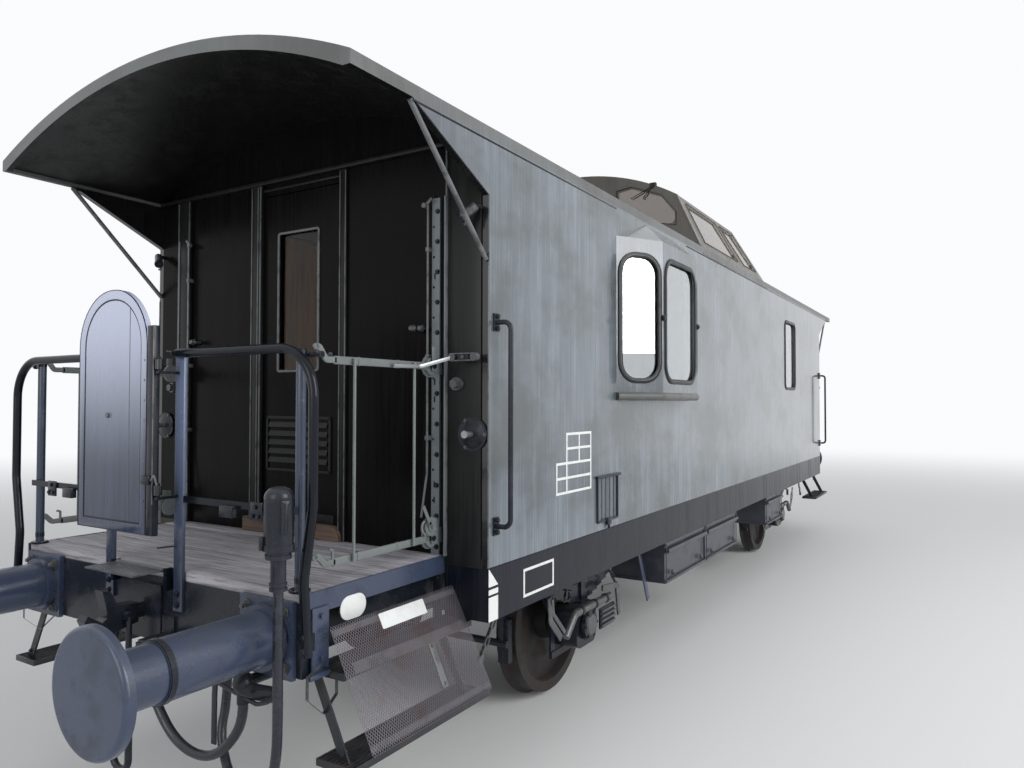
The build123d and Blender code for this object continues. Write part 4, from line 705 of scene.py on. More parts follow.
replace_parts(make_piece("step_treads", steps, "step_paint", CORNERS), "steps")

# Screen of expanded metal over the near left steps
SCREEN_TOP = Vector((-5.07, -1.13, 1.135))
SCREEN_FOOT = Vector((-5.07, -1.375, 0.66))
SCREEN_WIDTH = 0.86
SCREEN_CELL = (0.0145, 0.0215)
SCREEN_UP = (SCREEN_TOP - SCREEN_FOOT).normalized()
SCREEN_OUT = X.cross(SCREEN_UP)


def on_screen(x, up, out=0.0):
    """A point by its X, its reach up from the screen's foot, and out of its face."""
    return Vector((x, SCREEN_FOOT.y, SCREEN_FOOT.z)) + SCREEN_UP * up + SCREEN_OUT * out


height = (SCREEN_TOP - SCREEN_FOOT).length
across, up = SCREEN_CELL
count = math.ceil(SCREEN_WIDTH / across + height / up) + 2
mesh = bmesh.new()
turned = Matrix.Diagonal((across, up, 1, 1)) @ Matrix.Rotation(math.radians(45), 4, "Z")
bmesh.ops.create_grid(mesh, x_segments=count, y_segments=count, size=count / math.sqrt(8), matrix=turned)
for side, reach in ((X, SCREEN_WIDTH), (-X, SCREEN_WIDTH), (Y, height), (-Y, height)):
    bmesh.ops.bisect_plane(mesh, geom=mesh.verts[:] + mesh.edges[:] + mesh.faces[:],
                           plane_co=side * reach / 2, plane_no=side, clear_outer=True)
least = across * up / 2 * 0.4
bmesh.ops.delete(mesh, geom=[face for face in mesh.faces if face.calc_area() < least], context="FACES")
cells = mesh.faces[:]
bmesh.ops.inset_individual(mesh, faces=cells, thickness=0.0011, use_even_offset=True)
bmesh.ops.delete(mesh, geom=cells, context="FACES")
draw_out(mesh, mesh.faces[:], (0, 0, 0.0012))
place = facing((SCREEN_TOP + SCREEN_FOOT) / 2, X, SCREEN_UP)
bmesh.ops.transform(mesh, matrix=place, verts=mesh.verts)
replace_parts(make_piece("screen_mesh", mesh, "rusty_mesh", crease=20), "step_screen")
back = bmesh.new()
for up in (0.03, 0.505):
    add_bar(back, [on_screen(-5.495, up, -0.004), on_screen(-4.645, up, -0.004)], 0.004, 0.024, SCREEN_OUT)
add_bar(back, [on_screen(-5.44, 0.345, -0.005), on_screen(-4.665, 0.335, -0.005)], 0.004, 0.046, SCREEN_OUT)
make_piece("screen_straps", back, "rubbed_grey")
strap = bmesh.new()
add_bar(strap, [on_screen(-4.947, 0.315, 0.003), on_screen(-4.958, 0.108, 0.003)], 0.003, 0.04, SCREEN_OUT,
        0.001)
for up in (0.3, 0.125):
    add_bolt(strap, on_screen(-4.95, up, 0.004), SCREEN_OUT, 0.007)
make_piece("screen_tie", strap, "rubbed_grey")
label = bmesh.new()
place = facing(on_screen(-5.054, 0.485, 0.0025), X, SCREEN_UP)
draw_out(label, [rounded_face(label, place, 0.315, 0.07, 0.006, 3)], SCREEN_OUT * 0.002, 0.0006)
make_piece("screen_label", label, "white_paint")

# Windows: rubber seals with a metal filler strip
PANE_Z = 2.646
PANE_HEIGHT = 0.856

rubber, filler = bmesh.new(), bmesh.new()
middle = Vector((-2.898, -1.45, PANE_Z))
flank = Vector((0.348, -0.2, 0)).normalized()
far_middle = Vector((-1.802, -1.45, PANE_Z))
far_flank = Vector((0.348, 0.2, 0)).normalized()
windows = (
    (middle, flank, 0.33, PANE_HEIGHT, 0.09),
    (Vector((-2.35, -1.55, PANE_Z)), X, 0.644, PANE_HEIGHT, 0.09),
    (far_middle, far_flank, 0.33, PANE_HEIGHT, 0.09),
    (Vector((2.5, -1.35, 2.667)), X, 0.6, 0.846, 0.04),
)
for centre, across, width, height, corner in windows:
    place = facing(centre, across, Z)
    add_frame(rubber, place, width + 0.046, height + 0.046, corner + 0.058, 0.036, 0.009, 0.004)
    add_frame(filler, place, width + 0.008, height + 0.008, corner + 0.04, 0.0035, 0.0105, 0.001)
make_piece("window_seals", rubber, "black_rubber", BOTH_SIDES)
make_piece("seal_filler", filler, "rubbed_grey", BOTH_SIDES)

# Bulkheads: posts, rails, strips and fittings on the near one, turned for the far one
BOSS = (-1.255, 1.905)
CLAMP = (-1.255, 2.289)


def on_wall(y, z, out=0.0):
    """A point on the near bulkhead, or so far out of it."""
    return Vector((-BODY_X - out, y, z))


posts = bmesh.new()
for low, high in ((0.993, 1.109), (0.3, 0.387)):
    add_block(posts, on_wall(low, FLOOR_Z, 0.026), on_wall(high, EAVE_Z), 0.005)
add_block(posts, on_wall(-0.392, FLOOR_Z, 0.014), on_wall(-0.34, EAVE_Z), 0.004)
add_block(posts, on_wall(-1.31, EAVE_Z, 0.03), on_wall(1.31, 3.412), 0.004)
add_block(posts, on_wall(-0.36, 3.345, 0.014), on_wall(0.3, 3.36), 0.003)
add_block(posts, on_wall(-1.305, 1.236, 0.008), on_wall(-1.085, EAVE_Z), 0.002)
make_piece("bulkhead_posts", posts, "post_paint", BOTH_ENDS)
strips = bmesh.new()
for y in (0.997, 1.105, 0.305, 0.327, 0.382):
    add_block(strips, on_wall(y - 0.004, FLOOR_Z, 0.03), on_wall(y + 0.004, 3.38, 0.02), 0.002)
for y in (-0.345, -0.387):
    add_block(strips, on_wall(y - 0.003, FLOOR_Z, 0.018), on_wall(y + 0.003, 3.38, 0.01), 0.0015)
add_block(strips, on_wall(-1.101, 1.281, 0.02), on_wall(-1.091, 3.38, 0.004), 0.002)
make_piece("bulkhead_strips", strips, "rubbed_grey", BOTH_ENDS)

window, louvre, handle = bmesh.new(), bmesh.new(), bmesh.new()
add_frame(window, facing(on_wall(0, 2.663), -Y, Z), 0.349, 0.844, 0.02, 0.014, 0.008, 0.002)
add_frame(louvre, facing(on_wall(-0.007, 1.815), -Y, Z), 0.54, 0.33, 0.01, 0.018, 0.008, 0.002)
for number in range(5):
    z = 1.705 + number * 0.0525
    slat = [on_wall(0.235, z + up, out) for up, out in ((0, 0), (0, 0.016), (0.03, 0.004), (0.03, 0))]
    add_plate(louvre, slat, (0, -0.484, 0))
add_block(louvre, on_wall(-0.3, 1.345, 0.006), on_wall(0.3, 1.42), 0.002)
add_rod(handle, on_wall(-0.27, 2.33), on_wall(-0.27, 2.33, 0.008), 0.02)
add_tube(handle, [on_wall(-0.27, 2.33, 0.006), on_wall(-0.27, 2.33, 0.034),
                  on_wall(-0.19, 2.322, 0.034)], 0.007, 0.012)
make_pair("door_window_frame", window, "rubbed_grey", "end_door")
make_pair("door_louvre", louvre, "post_paint", "end_door")
make_pair("door_handle", handle, "fitting_grey", "end_door")

dark, grey_bits, bright = bmesh.new(), bmesh.new(), bmesh.new()
for y, reach in ((-0.905, 0.052), (-0.945, 0.03)):
    add_rod(grey_bits, on_wall(y, 2.451), on_wall(y, 2.451, reach), 0.008, 12)
    add_rod(grey_bits, on_wall(y, 2.451, reach - 0.004), on_wall(y, 2.451, reach + 0.02), 0.019, 16, 0.012)
add_rod(grey_bits, on_wall(-1.165, 2.158), on_wall(-1.165, 2.158, 0.03), 0.036, 24, 0.033)
add_rod(grey_bits, on_wall(-1.165, 2.158, 0.028), on_wall(-1.165, 2.158, 0.052), 0.024, 6)
add_rod(dark, on_wall(*BOSS, 0.006), on_wall(*BOSS, 0.012), 0.086, 40)
add_rod(dark, on_wall(*BOSS, 0.012), on_wall(*BOSS, 0.022), 0.074, 40, 0.04)
add_rod(bright, on_wall(*BOSS, 0.02), on_wall(*BOSS, 0.064), 0.015, 20)
add_rod(bright, on_wall(*BOSS, 0.058), on_wall(*BOSS, 0.08), 0.019, 20)
for turn in (0, math.tau / 3, math.tau * 2 / 3):
    at = on_wall(*BOSS, 0.011) + Vector((0, -math.cos(turn), math.sin(turn))) * 0.078
    add_bolt(grey_bits, at, OUT, 0.008)
add_rod(grey_bits, on_wall(-1.235, 2.985, 0.085), on_wall(-1.3, 3.045, 0.045), 0.024, 24)
add_rod(dark, on_wall(-1.23, 2.98, 0.088), on_wall(-1.238, 2.988, 0.083), 0.028, 24)
add_tube(grey_bits, [on_wall(-1.245, 2.985, 0.065), on_wall(-1.245, 2.952, 0.065),
                     on_wall(-1.262, 2.952, 0.065)], 0.007, 0.008, 10)
add_rod(dark, on_wall(-1.3, 3.045, 0.05), on_wall(-1.3, 3.045), 0.012, 12)
for z in (2.272, 2.306):
    add_bar(grey_bits, [on_wall(-1.185, z, 0.085), on_wall(-1.325, z, 0.085)], 0.024, 0.007, X, 0.002)
for y in (-1.188, -1.322):
    add_rod(grey_bits, on_wall(y, CLAMP[1], 0.072), on_wall(y, CLAMP[1], 0.098), 0.021, 20)
add_bar(dark, [on_wall(*CLAMP, 0.004), on_wall(*CLAMP, 0.092)], 0.06, 0.026, Y)
add_bolt(grey_bits, on_wall(*CLAMP, 0.094), OUT, 0.008)
make_piece("bulkhead_fittings", dark, "black_paint", CORNERS)
make_piece("bulkhead_bosses", grey_bits, "fitting_grey", CORNERS)
add_bar(bright, [(-5.06, -1.094, 2.236), (-4.86, -1.094, 2.24), (-4.72, -1.185, 2.289)], 0.008, 0.02, Y,
        0.0035, 0.05)
make_piece("keeper_bars", bright, "bright_steel", CORNERS)
rods = bmesh.new()
add_tube(rods, [on_wall(-0.99, 3.093, 0.035), on_wall(-0.99, 1.7, 0.035),
                on_wall(-0.965, 1.47, 0.05)], 0.006, 0.05, 10)
add_bar(rods, [on_wall(-0.965, 3.085, 0.035), on_wall(-1.015, 3.125, 0.035)], 0.008, 0.016, X)
add_rod(rods, on_wall(-0.972, 3.09, 0.03), on_wall(-0.972, 3.09, 0.052), 0.013, 16)
for z in (2.86, 2.3, 1.88):
    add_block(rods, on_wall(-1.0, z - 0.012, 0.044), on_wall(-0.98, z + 0.012, 0.0), 0.003)
make_piece("pull_rods", rods, "rubbed_grey", CORNERS)
bolts = bmesh.new()
for number in range(12):
    z = 1.32 + number * 0.158
    add_bolt(bolts, on_wall(-1.036, z, 0.012), OUT, 0.01)
    add_rivet(bolts, on_wall(-1.012, z + 0.079, 0.012), OUT, 0.007)
for z in GATE_HEIGHTS:
    add_bolt(bolts, (GATE_PIVOT_X, -1.078, z), -Y, 0.015)
make_piece("gate_rail_bolts", bolts, "black_paint", CORNERS)
slots = bmesh.new()
for z in (1.56, 1.64, 2.08, 2.17, 2.72):
    place = facing(on_wall(-1.02, z, 0.0122), -Y, Z)
    draw_out(slots, [rounded_face(slots, place, 0.01, 0.034, 0.0045, 3)], (-0.0006, 0, 0))
make_piece("gate_rail_slots", slots, "black_rubber", CORNERS)

# Lining of upright boards along the inside of both sides
BOARD_PITCH = 0.1

boards = bmesh.new()
for start, count in ((-4.56, 14), (-1.59, 37), (2.86, 17)):
    for number in range(count):
        x = start + number * BOARD_PITCH
        add_block(boards, (x + 0.001, -1.309, FLOOR_Z), (x + 0.099, -1.296, 3.38), 0.003)
make_piece("lining_boards", boards, "lining_wood_and_painted_light", BOTH_SIDES)

# Side gates: the bars with their hooks, rings and bosses, in place of the plain ones
GATES = (("near_left", HERE), ("near_right", ACROSS), ("far_left", FAR), ("far_right", TURNED))
ROD_REACHES = (0.157, 0.572)


def gate_bar(height, rise, prong):
    bar = bmesh.new()
    for x, up, radius, sides in ((GATE_PIVOT_X, 0, 0.045, 40), (GATE_TIP_X + 0.014, rise, 0.014, 24)):
        add_rod(bar, (x, -1.0655, height + up), (x, -1.0765, height + up), radius, sides)
    for reach in ROD_REACHES:
        x = GATE_PIVOT_X - reach
        add_rod(bar, (x, -1.064, height), (x, -1.079, height), 0.012, 20)

    def run(steps, thickness, tall, bend=0.01, corner=0.003):
        points = [(x, GATE_Y, height + up) for x, up in steps]
        add_bar(bar, points, thickness, tall, Y, corner, bend)

    run(((GATE_PIVOT_X, 0), (GATE_TIP_X + 0.12, 0)), 0.011, 0.036)
    hook = ((GATE_TIP_X + 0.13, 0), (GATE_TIP_X + 0.072, 0), (GATE_TIP_X + 0.034, rise),
            (GATE_TIP_X + 0.01, rise))
    run(hook, 0.011, 0.028, 0.018)
    for x in (GATE_PIVOT_X - 0.262, GATE_PIVOT_X - 0.53):
        run(((x - 0.005, 0), (x + 0.005, 0)), 0.015, 0.04)
    if prong:
        x = GATE_TIP_X + 0.118
        run(((x, 0), (x, 0.052), (x - 0.02, 0.058)), 0.008, 0.012, 0.006, 0.002)
    return bar


for corner, place in GATES:
    for name, height, rise in (("top_bar", GATE_HEIGHTS[0], 0.052), ("bottom_bar", GATE_HEIGHTS[1], 0.038)):
        node = f"gate_{corner}_{name}"
        bar = gate_bar(height, rise, name == "bottom_bar")
        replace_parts(make_piece(f"{node}_hooked", bar, "gate_paint", (place,), node), node)

# End railings: faced posts, collars and small brackets
faces = bmesh.new()
add_block(faces, (-5.6045, -0.3045, 1.1), (-5.588, -0.2395, 2.3), 0.003)
make_piece("railing_post_faces", faces, "railing_paint", CORNERS)
round_post = bmesh.new()
add_rod(round_post, (*GATE_POST, FLOOR_Z + 0.01), (*GATE_POST, 2.276), 0.0212, 28)
make_piece("gate_post_sleeves", round_post, "post_blue", CORNERS)
collars = bmesh.new()
for z in (1.33, 2.27):
    add_rod(collars, (*GATE_POST, z - 0.012), (*GATE_POST, z + 0.012), 0.0225, 24)
add_rod(collars, (*GATE_POST, FLOOR_Z), (*GATE_POST, FLOOR_Z + 0.012), 0.044, 32, 0.04)
for x, y in ((-5.585, -1.045), (-5.535, -1.045), (-5.585, -0.995), (-5.535, -0.995)):
    add_bolt(collars, (x, y, FLOOR_Z + 0.006), Z, 0.006)
add_rod(collars, (-5.546, -1.126, 2.262), (-5.546, -1.112, 2.262), 0.015, 24)
add_rod(collars, (-5.546, -1.05, 2.262), (-5.546, -1.04, 2.262), 0.015, 24)
add_block(collars, (-5.628, -0.674, 1.563), (-5.598, -0.588, 1.613), 0.004)
add_block(collars, (-5.612, -0.846, 1.56), (-5.602, -0.77, 1.64), 0.004)
for y, z in ((-0.826, 1.58), (-0.79, 1.58), (-0.808, 1.62)):
    add_bolt(collars, (-5.612, y, z), OUT, 0.009)
add_bolt(collars, (-5.602, -0.272, 1.13), OUT, 0.012)
add_bolt(collars, (-5.602, -0.272, 1.18), OUT, 0.012)
for z in (1.13, 1.075):
    add_bolt(collars, (-5.641, -1.13, z), OUT, 0.009)
make_piece("railing_collars", collars, "black_paint", CORNERS)

# Gangway leaves: raised border, groove, crease, stile and latch
LEAF_FACE_X = -5.712
LEAF_LOW, LEAF_HIGH = 1.458, 2.598


def leaf_outline(bm, width, drop, corner):
    """The arched face of a leaf, drawn in by a drop from its edges."""
    centre = Vector((LEAF_FACE_X, 0.0875, LEAF_LOW))
    height = 2 * (LEAF_HIGH - LEAF_LOW - drop)
    face = rounded_face(bm, facing(centre, -Y, Z), width, height, corner, 12)
    bmesh.ops.bisect_plane(bm, geom=list(face.verts) + list(face.edges) + [face],
                           plane_co=(0, 0, LEAF_LOW + drop), plane_no=-Z, clear_outer=True)
    return max(bm.faces, key=lambda item: item.calc_area())


def leaf_ring(name, drop, band, proud, finish):
    rim = bmesh.new()
    face = leaf_outline(rim, 0.555 - 2 * drop, drop, 0.27 - drop)
    draw_out(rim, ring_only(rim, face, band), OUT * proud, proud * 0.4)
    make_pair(name, rim, finish, "gangway_leaf")


leaf_ring("leaf_border", 0.001, 0.044, 0.003, "leaf_paint")
leaf_ring("leaf_groove", 0.045, 0.007, 0.0012, "black_rubber")
leaf_ring("leaf_edge", 0.0, 0.004, 0.0045, "black_rubber")
stile, trim = bmesh.new(), bmesh.new()
add_block(stile, (-5.716, -0.241, 1.457), (-5.684, -0.195, 2.4135), 0.002)
add_block(stile, (-5.73, -0.23, 1.69), (-5.712, -0.17, 1.728), 0.004)
make_pair("leaf_stile", stile, "black_paint", "gangway_leaf")
add_block(trim, (-5.7185, -0.243, 1.6), (-5.714, -0.237, 2.412), 0.0015)
add_block(trim, (-5.713, -0.053, 1.51), (-5.7117, -0.049, 2.545), 0.0004)
add_bar(trim, [(-5.722, -0.238, 1.71), (-5.722, -0.262, 1.735), (-5.722, -0.285, 1.69)], 0.005, 0.01, X,
        0.0015, 0.006)
for number in range(9):
    add_rivet(trim, (-5.715, -0.1725, 1.52 + number * 0.092), OUT, 0.005)
add_rod(trim, (-5.712, 0.118, 2.0), (-5.722, 0.118, 2.0), 0.012, 20)
make_pair("leaf_trim", trim, "rubbed_grey", "gangway_leaf")
latch = bmesh.new()
add_bar(latch, [(-5.596, -0.262, 2.296), (-5.666, -0.25, 2.296)], 0.012, 0.008, Y)
add_bolt(latch, (-5.64, -0.255, 2.292), -Z, 0.008)
add_bar(latch, [(-5.596, -0.262, 1.4), (-5.68, -0.232, 1.4)], 0.012, 0.008, Y)
make_piece("leaf_keeps", latch, "black_paint", BOTH_ENDS)

# Bridge plates: raised ribs along the plate
ribs = bmesh.new()
for number in range(13):
    y = -0.168 + number * 0.028
    add_block(ribs, (-5.768, y - 0.004, 1.2835), (-5.63, y + 0.004, 1.2875), 0.0015)
make_pair("bridge_ribs", ribs, "tread_plate", "bridge_plate")

# Side: white outlines and plates, the label clip, seams and corner edges
marks = bmesh.new()
y0, y1 = -1.3512, -1.3496
left, middle, right = -3.925, -3.8, -3.475
rows = (1.533, 1.619, 1.705, 1.791, 1.877)
line = 0.015


def bar(x0, x1, z0, z1):
    add_block(marks, (x0 - line / 2, y0, z0 - line / 2), (x1 + line / 2, y1, z1 + line / 2))


for z in rows[:3]:
    bar(left, right, z, z)
for z in rows[3:]:
    bar(middle, right, z, z)
for number, (low, high) in enumerate(zip(rows, rows[1:])):
    for x in (left, middle, right) if number < 2 else (middle, -3.636, right):
        bar(x, x, low + line, high - line)
left, right, low, high = -4.293, -3.969, 1.032, 1.168
for z in (low, high):
    bar(left, right, z, z)
for x in (left, right):
    bar(x, x, low + line, high - line)
add_plate(marks, [(-BODY_X, y1, 1.148), (-4.551, y1, 1.148), (-BODY_X, y1, 1.24)], (0, y0 - y1, 0))
add_block(marks, (-BODY_X, y0, 1.108), (-4.551, y1, 1.134))
add_block(marks, (-BODY_X, y0, 0.976), (-4.551, y1, 1.096))
make_piece("side_marks", marks, "white_paint", BOTH_ENDS)
clip = bmesh.new()
left, right, low, high = -3.385, -3.075, 1.3, 1.585
for x in (left, right):
    add_bar(clip, [(x, -1.356, low), (x, -1.356, high)], 0.012, 0.016, Y)
for number in range(1, 5):
    x = left + (right - left) * number / 5
    add_rod(clip, (x, -1.357, low), (x, -1.357, high), 0.0035, 8)
add_bar(clip, [(left - 0.02, -1.36, high), (right + 0.035, -1.36, high)], 0.02, 0.016, Y)
add_bar(clip, [(left, -1.356, low), (right, -1.356, low)], 0.012, 0.014, Y)
middle = (left + right) / 2
add_block(clip, (middle - 0.03, -1.372, low - 0.03), (middle + 0.03, -1.352, low + 0.012), 0.004)
add_rod(clip, (middle, -1.364, low - 0.055), (middle, -1.364, low - 0.025), 0.008, 12)
make_piece("label_clips", clip, "black_paint", BOTH_ENDS)
seam = bmesh.new()
add_block(seam, (-5.24, -1.3535, 3.372), (-3.075, -1.3495, 3.3795), 0.001)
add_block(seam, (-1.625, -1.3535, 3.372), (5.24, -1.3495, 3.3795), 0.001)
add_block(seam, (-BODY_X, -1.352, 1.236), (BODY_X, -1.3496, 1.243), 0.0008)
make_piece("side_seams", seam, "band_paint", BOTH_SIDES)
corner = bmesh.new()
add_bar(corner, [(-4.6385, -1.346, 1.242), (-4.6385, -1.346, 2.75)], 0.004, 0.007, X, 0.0015)
add_tube(corner, [(-5.244, -1.332, 3.384), (-4.64, -1.332, 2.78)], 0.013, 0.03, 12)
make_piece("corner_edges", corner, "rubbed_grey", CORNERS)

# Bays: fittings on the ridges and the rolled foot
dark = bmesh.new()
for x, lean in ((-2.724, -0.006), (-1.976, 0.006)):
    add_rod(dark, (x, -1.54, 2.655), (x + lean, -1.566, 2.655), 0.022, 24, 0.02)
    add_rod(dark, (x + lean, -1.564, 2.655), (x + lean, -1.572, 2.655), 0.012, 20, 0.009)
make_piece("bay_fittings", dark, "black_paint", BOTH_SIDES)
lip = bmesh.new()
foot = ((-3.07, -1.352), (-2.722, -1.543), (-1.978, -1.543), (-1.63, -1.352))
add_tube(lip, [(x, y, 2.106) for x, y in foot], 0.028, 0.06, 20)
make_piece("bay_foot_rolls", lip, "foot_paint", BOTH_SIDES)

# Grab handles: bolts on their pads
bolts = bmesh.new()
for middle in (2.468, 1.443):
    for z in (middle - 0.03, middle + 0.03):
        add_rod(bolts, (-4.577, -1.35, z), (-4.577, -1.372, z), 0.013, 20, 0.01)
make_piece("grab_handle_bolts", bolts, "black_rubber", CORNERS)

# Gate rails: keyhole plates with bosses over the pivots, and a hooked lever
plates = bmesh.new()
for z in GATE_HEIGHTS:
    add_block(plates, (-4.756, -1.089, z - 0.025), (-4.716, -1.083, z + 0.1), 0.002)
    add_rod(plates, (GATE_PIVOT_X, -1.083, z), (GATE_PIVOT_X, -1.094, z), 0.013, 24)
    for up in (0.088, 0.045, -0.014):
        add_rivet(plates, (-4.728, -1.089, z + up), -Y, 0.006)
# Below, where no rod comes when the gate is up, also a disc with its catch and lever
add_rod(plates, (-4.765, -1.083, 1.445), (-4.765, -1.09, 1.445), 0.046, 36)
add_rod(plates, (-4.765, -1.09, 1.445), (-4.765, -1.096, 1.445), 0.024, 28)
add_bolt(plates, (-4.765, -1.095, 1.445), -Y, 0.01)
add_tube(plates, [(-4.792, -1.086, 1.486), (-4.83, -1.086, 1.468), (-4.834, -1.086, 1.433),
                  (-4.806, -1.086, 1.405)], 0.0065, 0.022, 10)
add_rod(plates, (-4.79, -1.089, 1.462), (-4.79, -1.107, 1.462), 0.011, 20)
add_bar(plates, [(-4.845, -1.104, 1.555), (-4.788, -1.104, 1.458)], 0.006, 0.02, Y, 0.002)
make_piece("gate_pivot_plates", plates, "gate_paint", CORNERS)

# Buffers: collars, root bolts and the studs behind the head
collars, worn_bits = bmesh.new(), bmesh.new()
centre = Vector((0, -BUFFER_Y, BUFFER_Z))
add_rod(collars, centre + OUT * 6.122, centre + OUT * 6.098, 0.1195, 64)
add_rod(collars, centre + OUT * 5.65, centre + OUT * 5.612, 0.124, 64, 0.14)
for angle in range(45, 405, 90):
    turn = math.radians(angle)
    at = centre + OUT * 5.612 + Vector((0, math.cos(turn), math.sin(turn))) * 0.163
    add_bolt(worn_bits, at, OUT, 0.019)
    add_rod(worn_bits, at, at + OUT * 0.034, 0.01, 12)
for angle in range(0, 360, 60):
    turn = math.radians(angle)
    at = centre + OUT * 6.322 + Vector((0, math.cos(turn), math.sin(turn))) * 0.165
    add_rod(worn_bits, at, at - OUT * 0.006, 0.012, 12)
make_piece("buffer_collars", collars, "black_paint", CORNERS)
make_piece("buffer_bolts", worn_bits, "fitting_grey", CORNERS)

# Jumper plug: raised panel, lip, clip and neck rings; rods and straps below the headstock
PLUG = Vector((-5.735, -1.09, 0.0))
PANEL_AWAY = Vector((-0.32, -0.95, 0.0)).normalized()

trim = bmesh.new()
aside = Z.cross(PANEL_AWAY)
place = facing(PLUG + Z * 1.62 + PANEL_AWAY * 0.0545, aside, Z)
draw_out(trim, [rounded_face(trim, place, 0.036, 0.13, 0.006, 3)], PANEL_AWAY * 0.007, 0.002)
for offset in (-0.012, 0.0, 0.012):
    strip = facing(PLUG + Z * 1.62 + PANEL_AWAY * 0.0615 + aside * offset, aside, Z)
    draw_out(trim, [rounded_face(trim, strip, 0.005, 0.11, 0.002, 2)], PANEL_AWAY * 0.0015)
rings = ((1.488, 1.512, 0.0605), (1.47, 1.488, 0.044), (1.352, 1.362, 0.0345), (1.331, 1.343, 0.0345))
for low, high, radius in rings:
    add_rod(trim, PLUG + Z * low, PLUG + Z * high, radius, 40)
clip = PLUG + Vector((-0.86, 0.5, 0.0)).normalized() * 0.062
add_block(trim, clip + Vector((-0.01, -0.01, 1.492)), clip + Vector((0.01, 0.01, 1.545)), 0.003)
make_piece("plug_trim", trim, "black_paint")
below = bmesh.new()
add_tube(below, [(-5.66, -0.56, 0.88), (-5.665, -0.7, 0.858), (-5.672, -0.9, 0.83), (-5.68, -0.985, 0.862),
                 (-5.66, -1.02, 0.93)], 0.009, 0.05, 10)
add_bar(below, [(-5.64, -0.6, 0.936), (-5.652, -0.606, 0.8), (-5.66, -0.615, 0.6)], 0.008, 0.03, X, 0.0015,
        0.03)
add_tube(below, [(-5.6, -0.93, 0.85), (-5.65, -0.87, 0.868), (-5.66, -0.805, 0.872)], 0.032, 0.03, 20)
make_piece("pipe_stays", below, "black_paint", BOTH_ENDS)

# Platform corners: flat posts with hexagonal links, and the oval plate
posts = bmesh.new()
add_block(posts, (-5.555, -1.092, 0.935), (-5.462, -1.08, 1.215), 0.002)
add_block(posts, (-5.585, -1.112, 0.932), (-5.47, -1.084, 0.952), 0.003)
for z in (1.18, 1.01):
    add_bolt(posts, (-5.508, -1.092, z), -Y, 0.011)
make_piece("corner_posts", posts, "edge_paint", CORNERS)
link = bmesh.new()
outline = ((-5.595, 0.862), (-5.595, 0.952), (-5.518, 0.986), (-5.43, 0.932), (-5.43, 0.838),
           (-5.506, 0.778))
add_rim(link, [(x, -1.096, z) for x, z in outline], 0.021, (0, -0.018, 0), 0.005)
make_piece("lifting_links", link, "fitting_grey", CORNERS)
oval = bmesh.new()
place = facing((-5.308, -1.08, 1.172), X, Z)
draw_out(oval, [rounded_face(oval, place, 0.16, 0.104, 0.0515, 10)], (0, -0.004, 0), 0.001)
make_piece("oval_plate", oval, "white_paint", BOTH_ENDS)


# Running gear: straps, pipe, ribbed covers, eyes and chains at each axlebox
def add_links(bm, start, end, count, width, wire):
    start, end = Vector(start), Vector(end)
    run = (end - start) / count
    side = Y.cross(run).normalized()
    for number in range(count):
        middle = start + run * (number + 0.5)
        if number % 2:
            add_bar(bm, [middle - run * 0.55, middle + run * 0.55], wire * 1.3, width * 0.5, side, 0.002)
        else:
            place = facing(middle, side, run.normalized())
            height = run.length * 1.25
            add_frame(bm, place, width, height, width * 0.48, wire, wire * 1.2, wire * 0.3)


dark, light = bmesh.new(), bmesh.new()
add_bar(light, [(-3.625, -1.14, 0.845), (-3.612, -1.14, 0.7), (-3.47, -1.14, 0.56)], 0.008, 0.046, Y, 0.002,
        0.03)
add_bar(light, [(-3.605, -1.15, 0.835), (-3.56, -1.132, 0.73), (-3.44, -1.15, 0.59)], 0.006, 0.03, Y, 0.002,
        0.03)
add_tube(light, [(-3.41, -1.14, 0.548), (-3.28, -1.14, 0.668), (-2.72, -1.14, 0.668)], 0.027, 0.07, 20)
for x in (-3.19, -2.98, -2.8):
    add_rod(dark, (x - 0.012, -1.14, 0.668), (x + 0.012, -1.14, 0.668), 0.033, 24)
add_bar(light, [(-2.85, -1.14, 0.748), (-2.6, -1.14, 0.722), (-2.56, -1.14, 0.5)], 0.014, 0.042, Y, 0.003,
        0.03)
add_block(dark, (-2.85, -1.128, 0.455), (-2.61, -1.112, 0.6), 0.004)
for number in range(4):
    z = 0.478 + number * 0.034
    add_block(light, (-2.845, -1.142, z - 0.007), (-2.615, -1.126, z + 0.007), 0.003)
cover = Vector((-3.02, 0, 0.535))
add_rod(dark, cover - Y * 1.112, cover - Y * 1.135, 0.098, 40)
add_rod(light, cover - Y * 1.133, cover - Y * 1.148, 0.075, 40, 0.066)
for angle in range(0, 360, 60):
    turn = math.radians(angle)
    add_bolt(dark, cover + Vector((0.086 * math.cos(turn), -1.135, 0.086 * math.sin(turn))), -Y, 0.009)
place = facing((-3.362, -1.12, 0.8), X, Z)
add_frame(dark, place, 0.08, 0.08, 0.0396, 0.013, 0.014, 0.004)
add_rod(dark, (-3.362, -1.06, 0.85), (-3.362, -1.122, 0.842), 0.012, 12)
add_links(dark, (-2.745, -1.125, 0.905), (-2.55, -1.125, 0.69), 5, 0.034, 0.008)
make_piece("axlebox_gear", dark, "black_paint", CORNERS)
make_piece("axlebox_straps", light, "fitting_grey", CORNERS)
chain = bmesh.new()
add_links(chain, (-4.215, -1.11, 0.86), (-4.345, -1.11, 0.69), 4, 0.04, 0.009)
add_rod(chain, (-4.352, -1.1, 0.675), (-4.352, -1.122, 0.675), 0.022, 24)
add_bar(chain, [(-4.15, -1.105, 0.96), (-4.215, -1.105, 0.87)], 0.008, 0.03, Y, 0.002)
make_piece("skirt_chains", chain, "fitting_grey", CORNERS)
stay = bmesh.new()
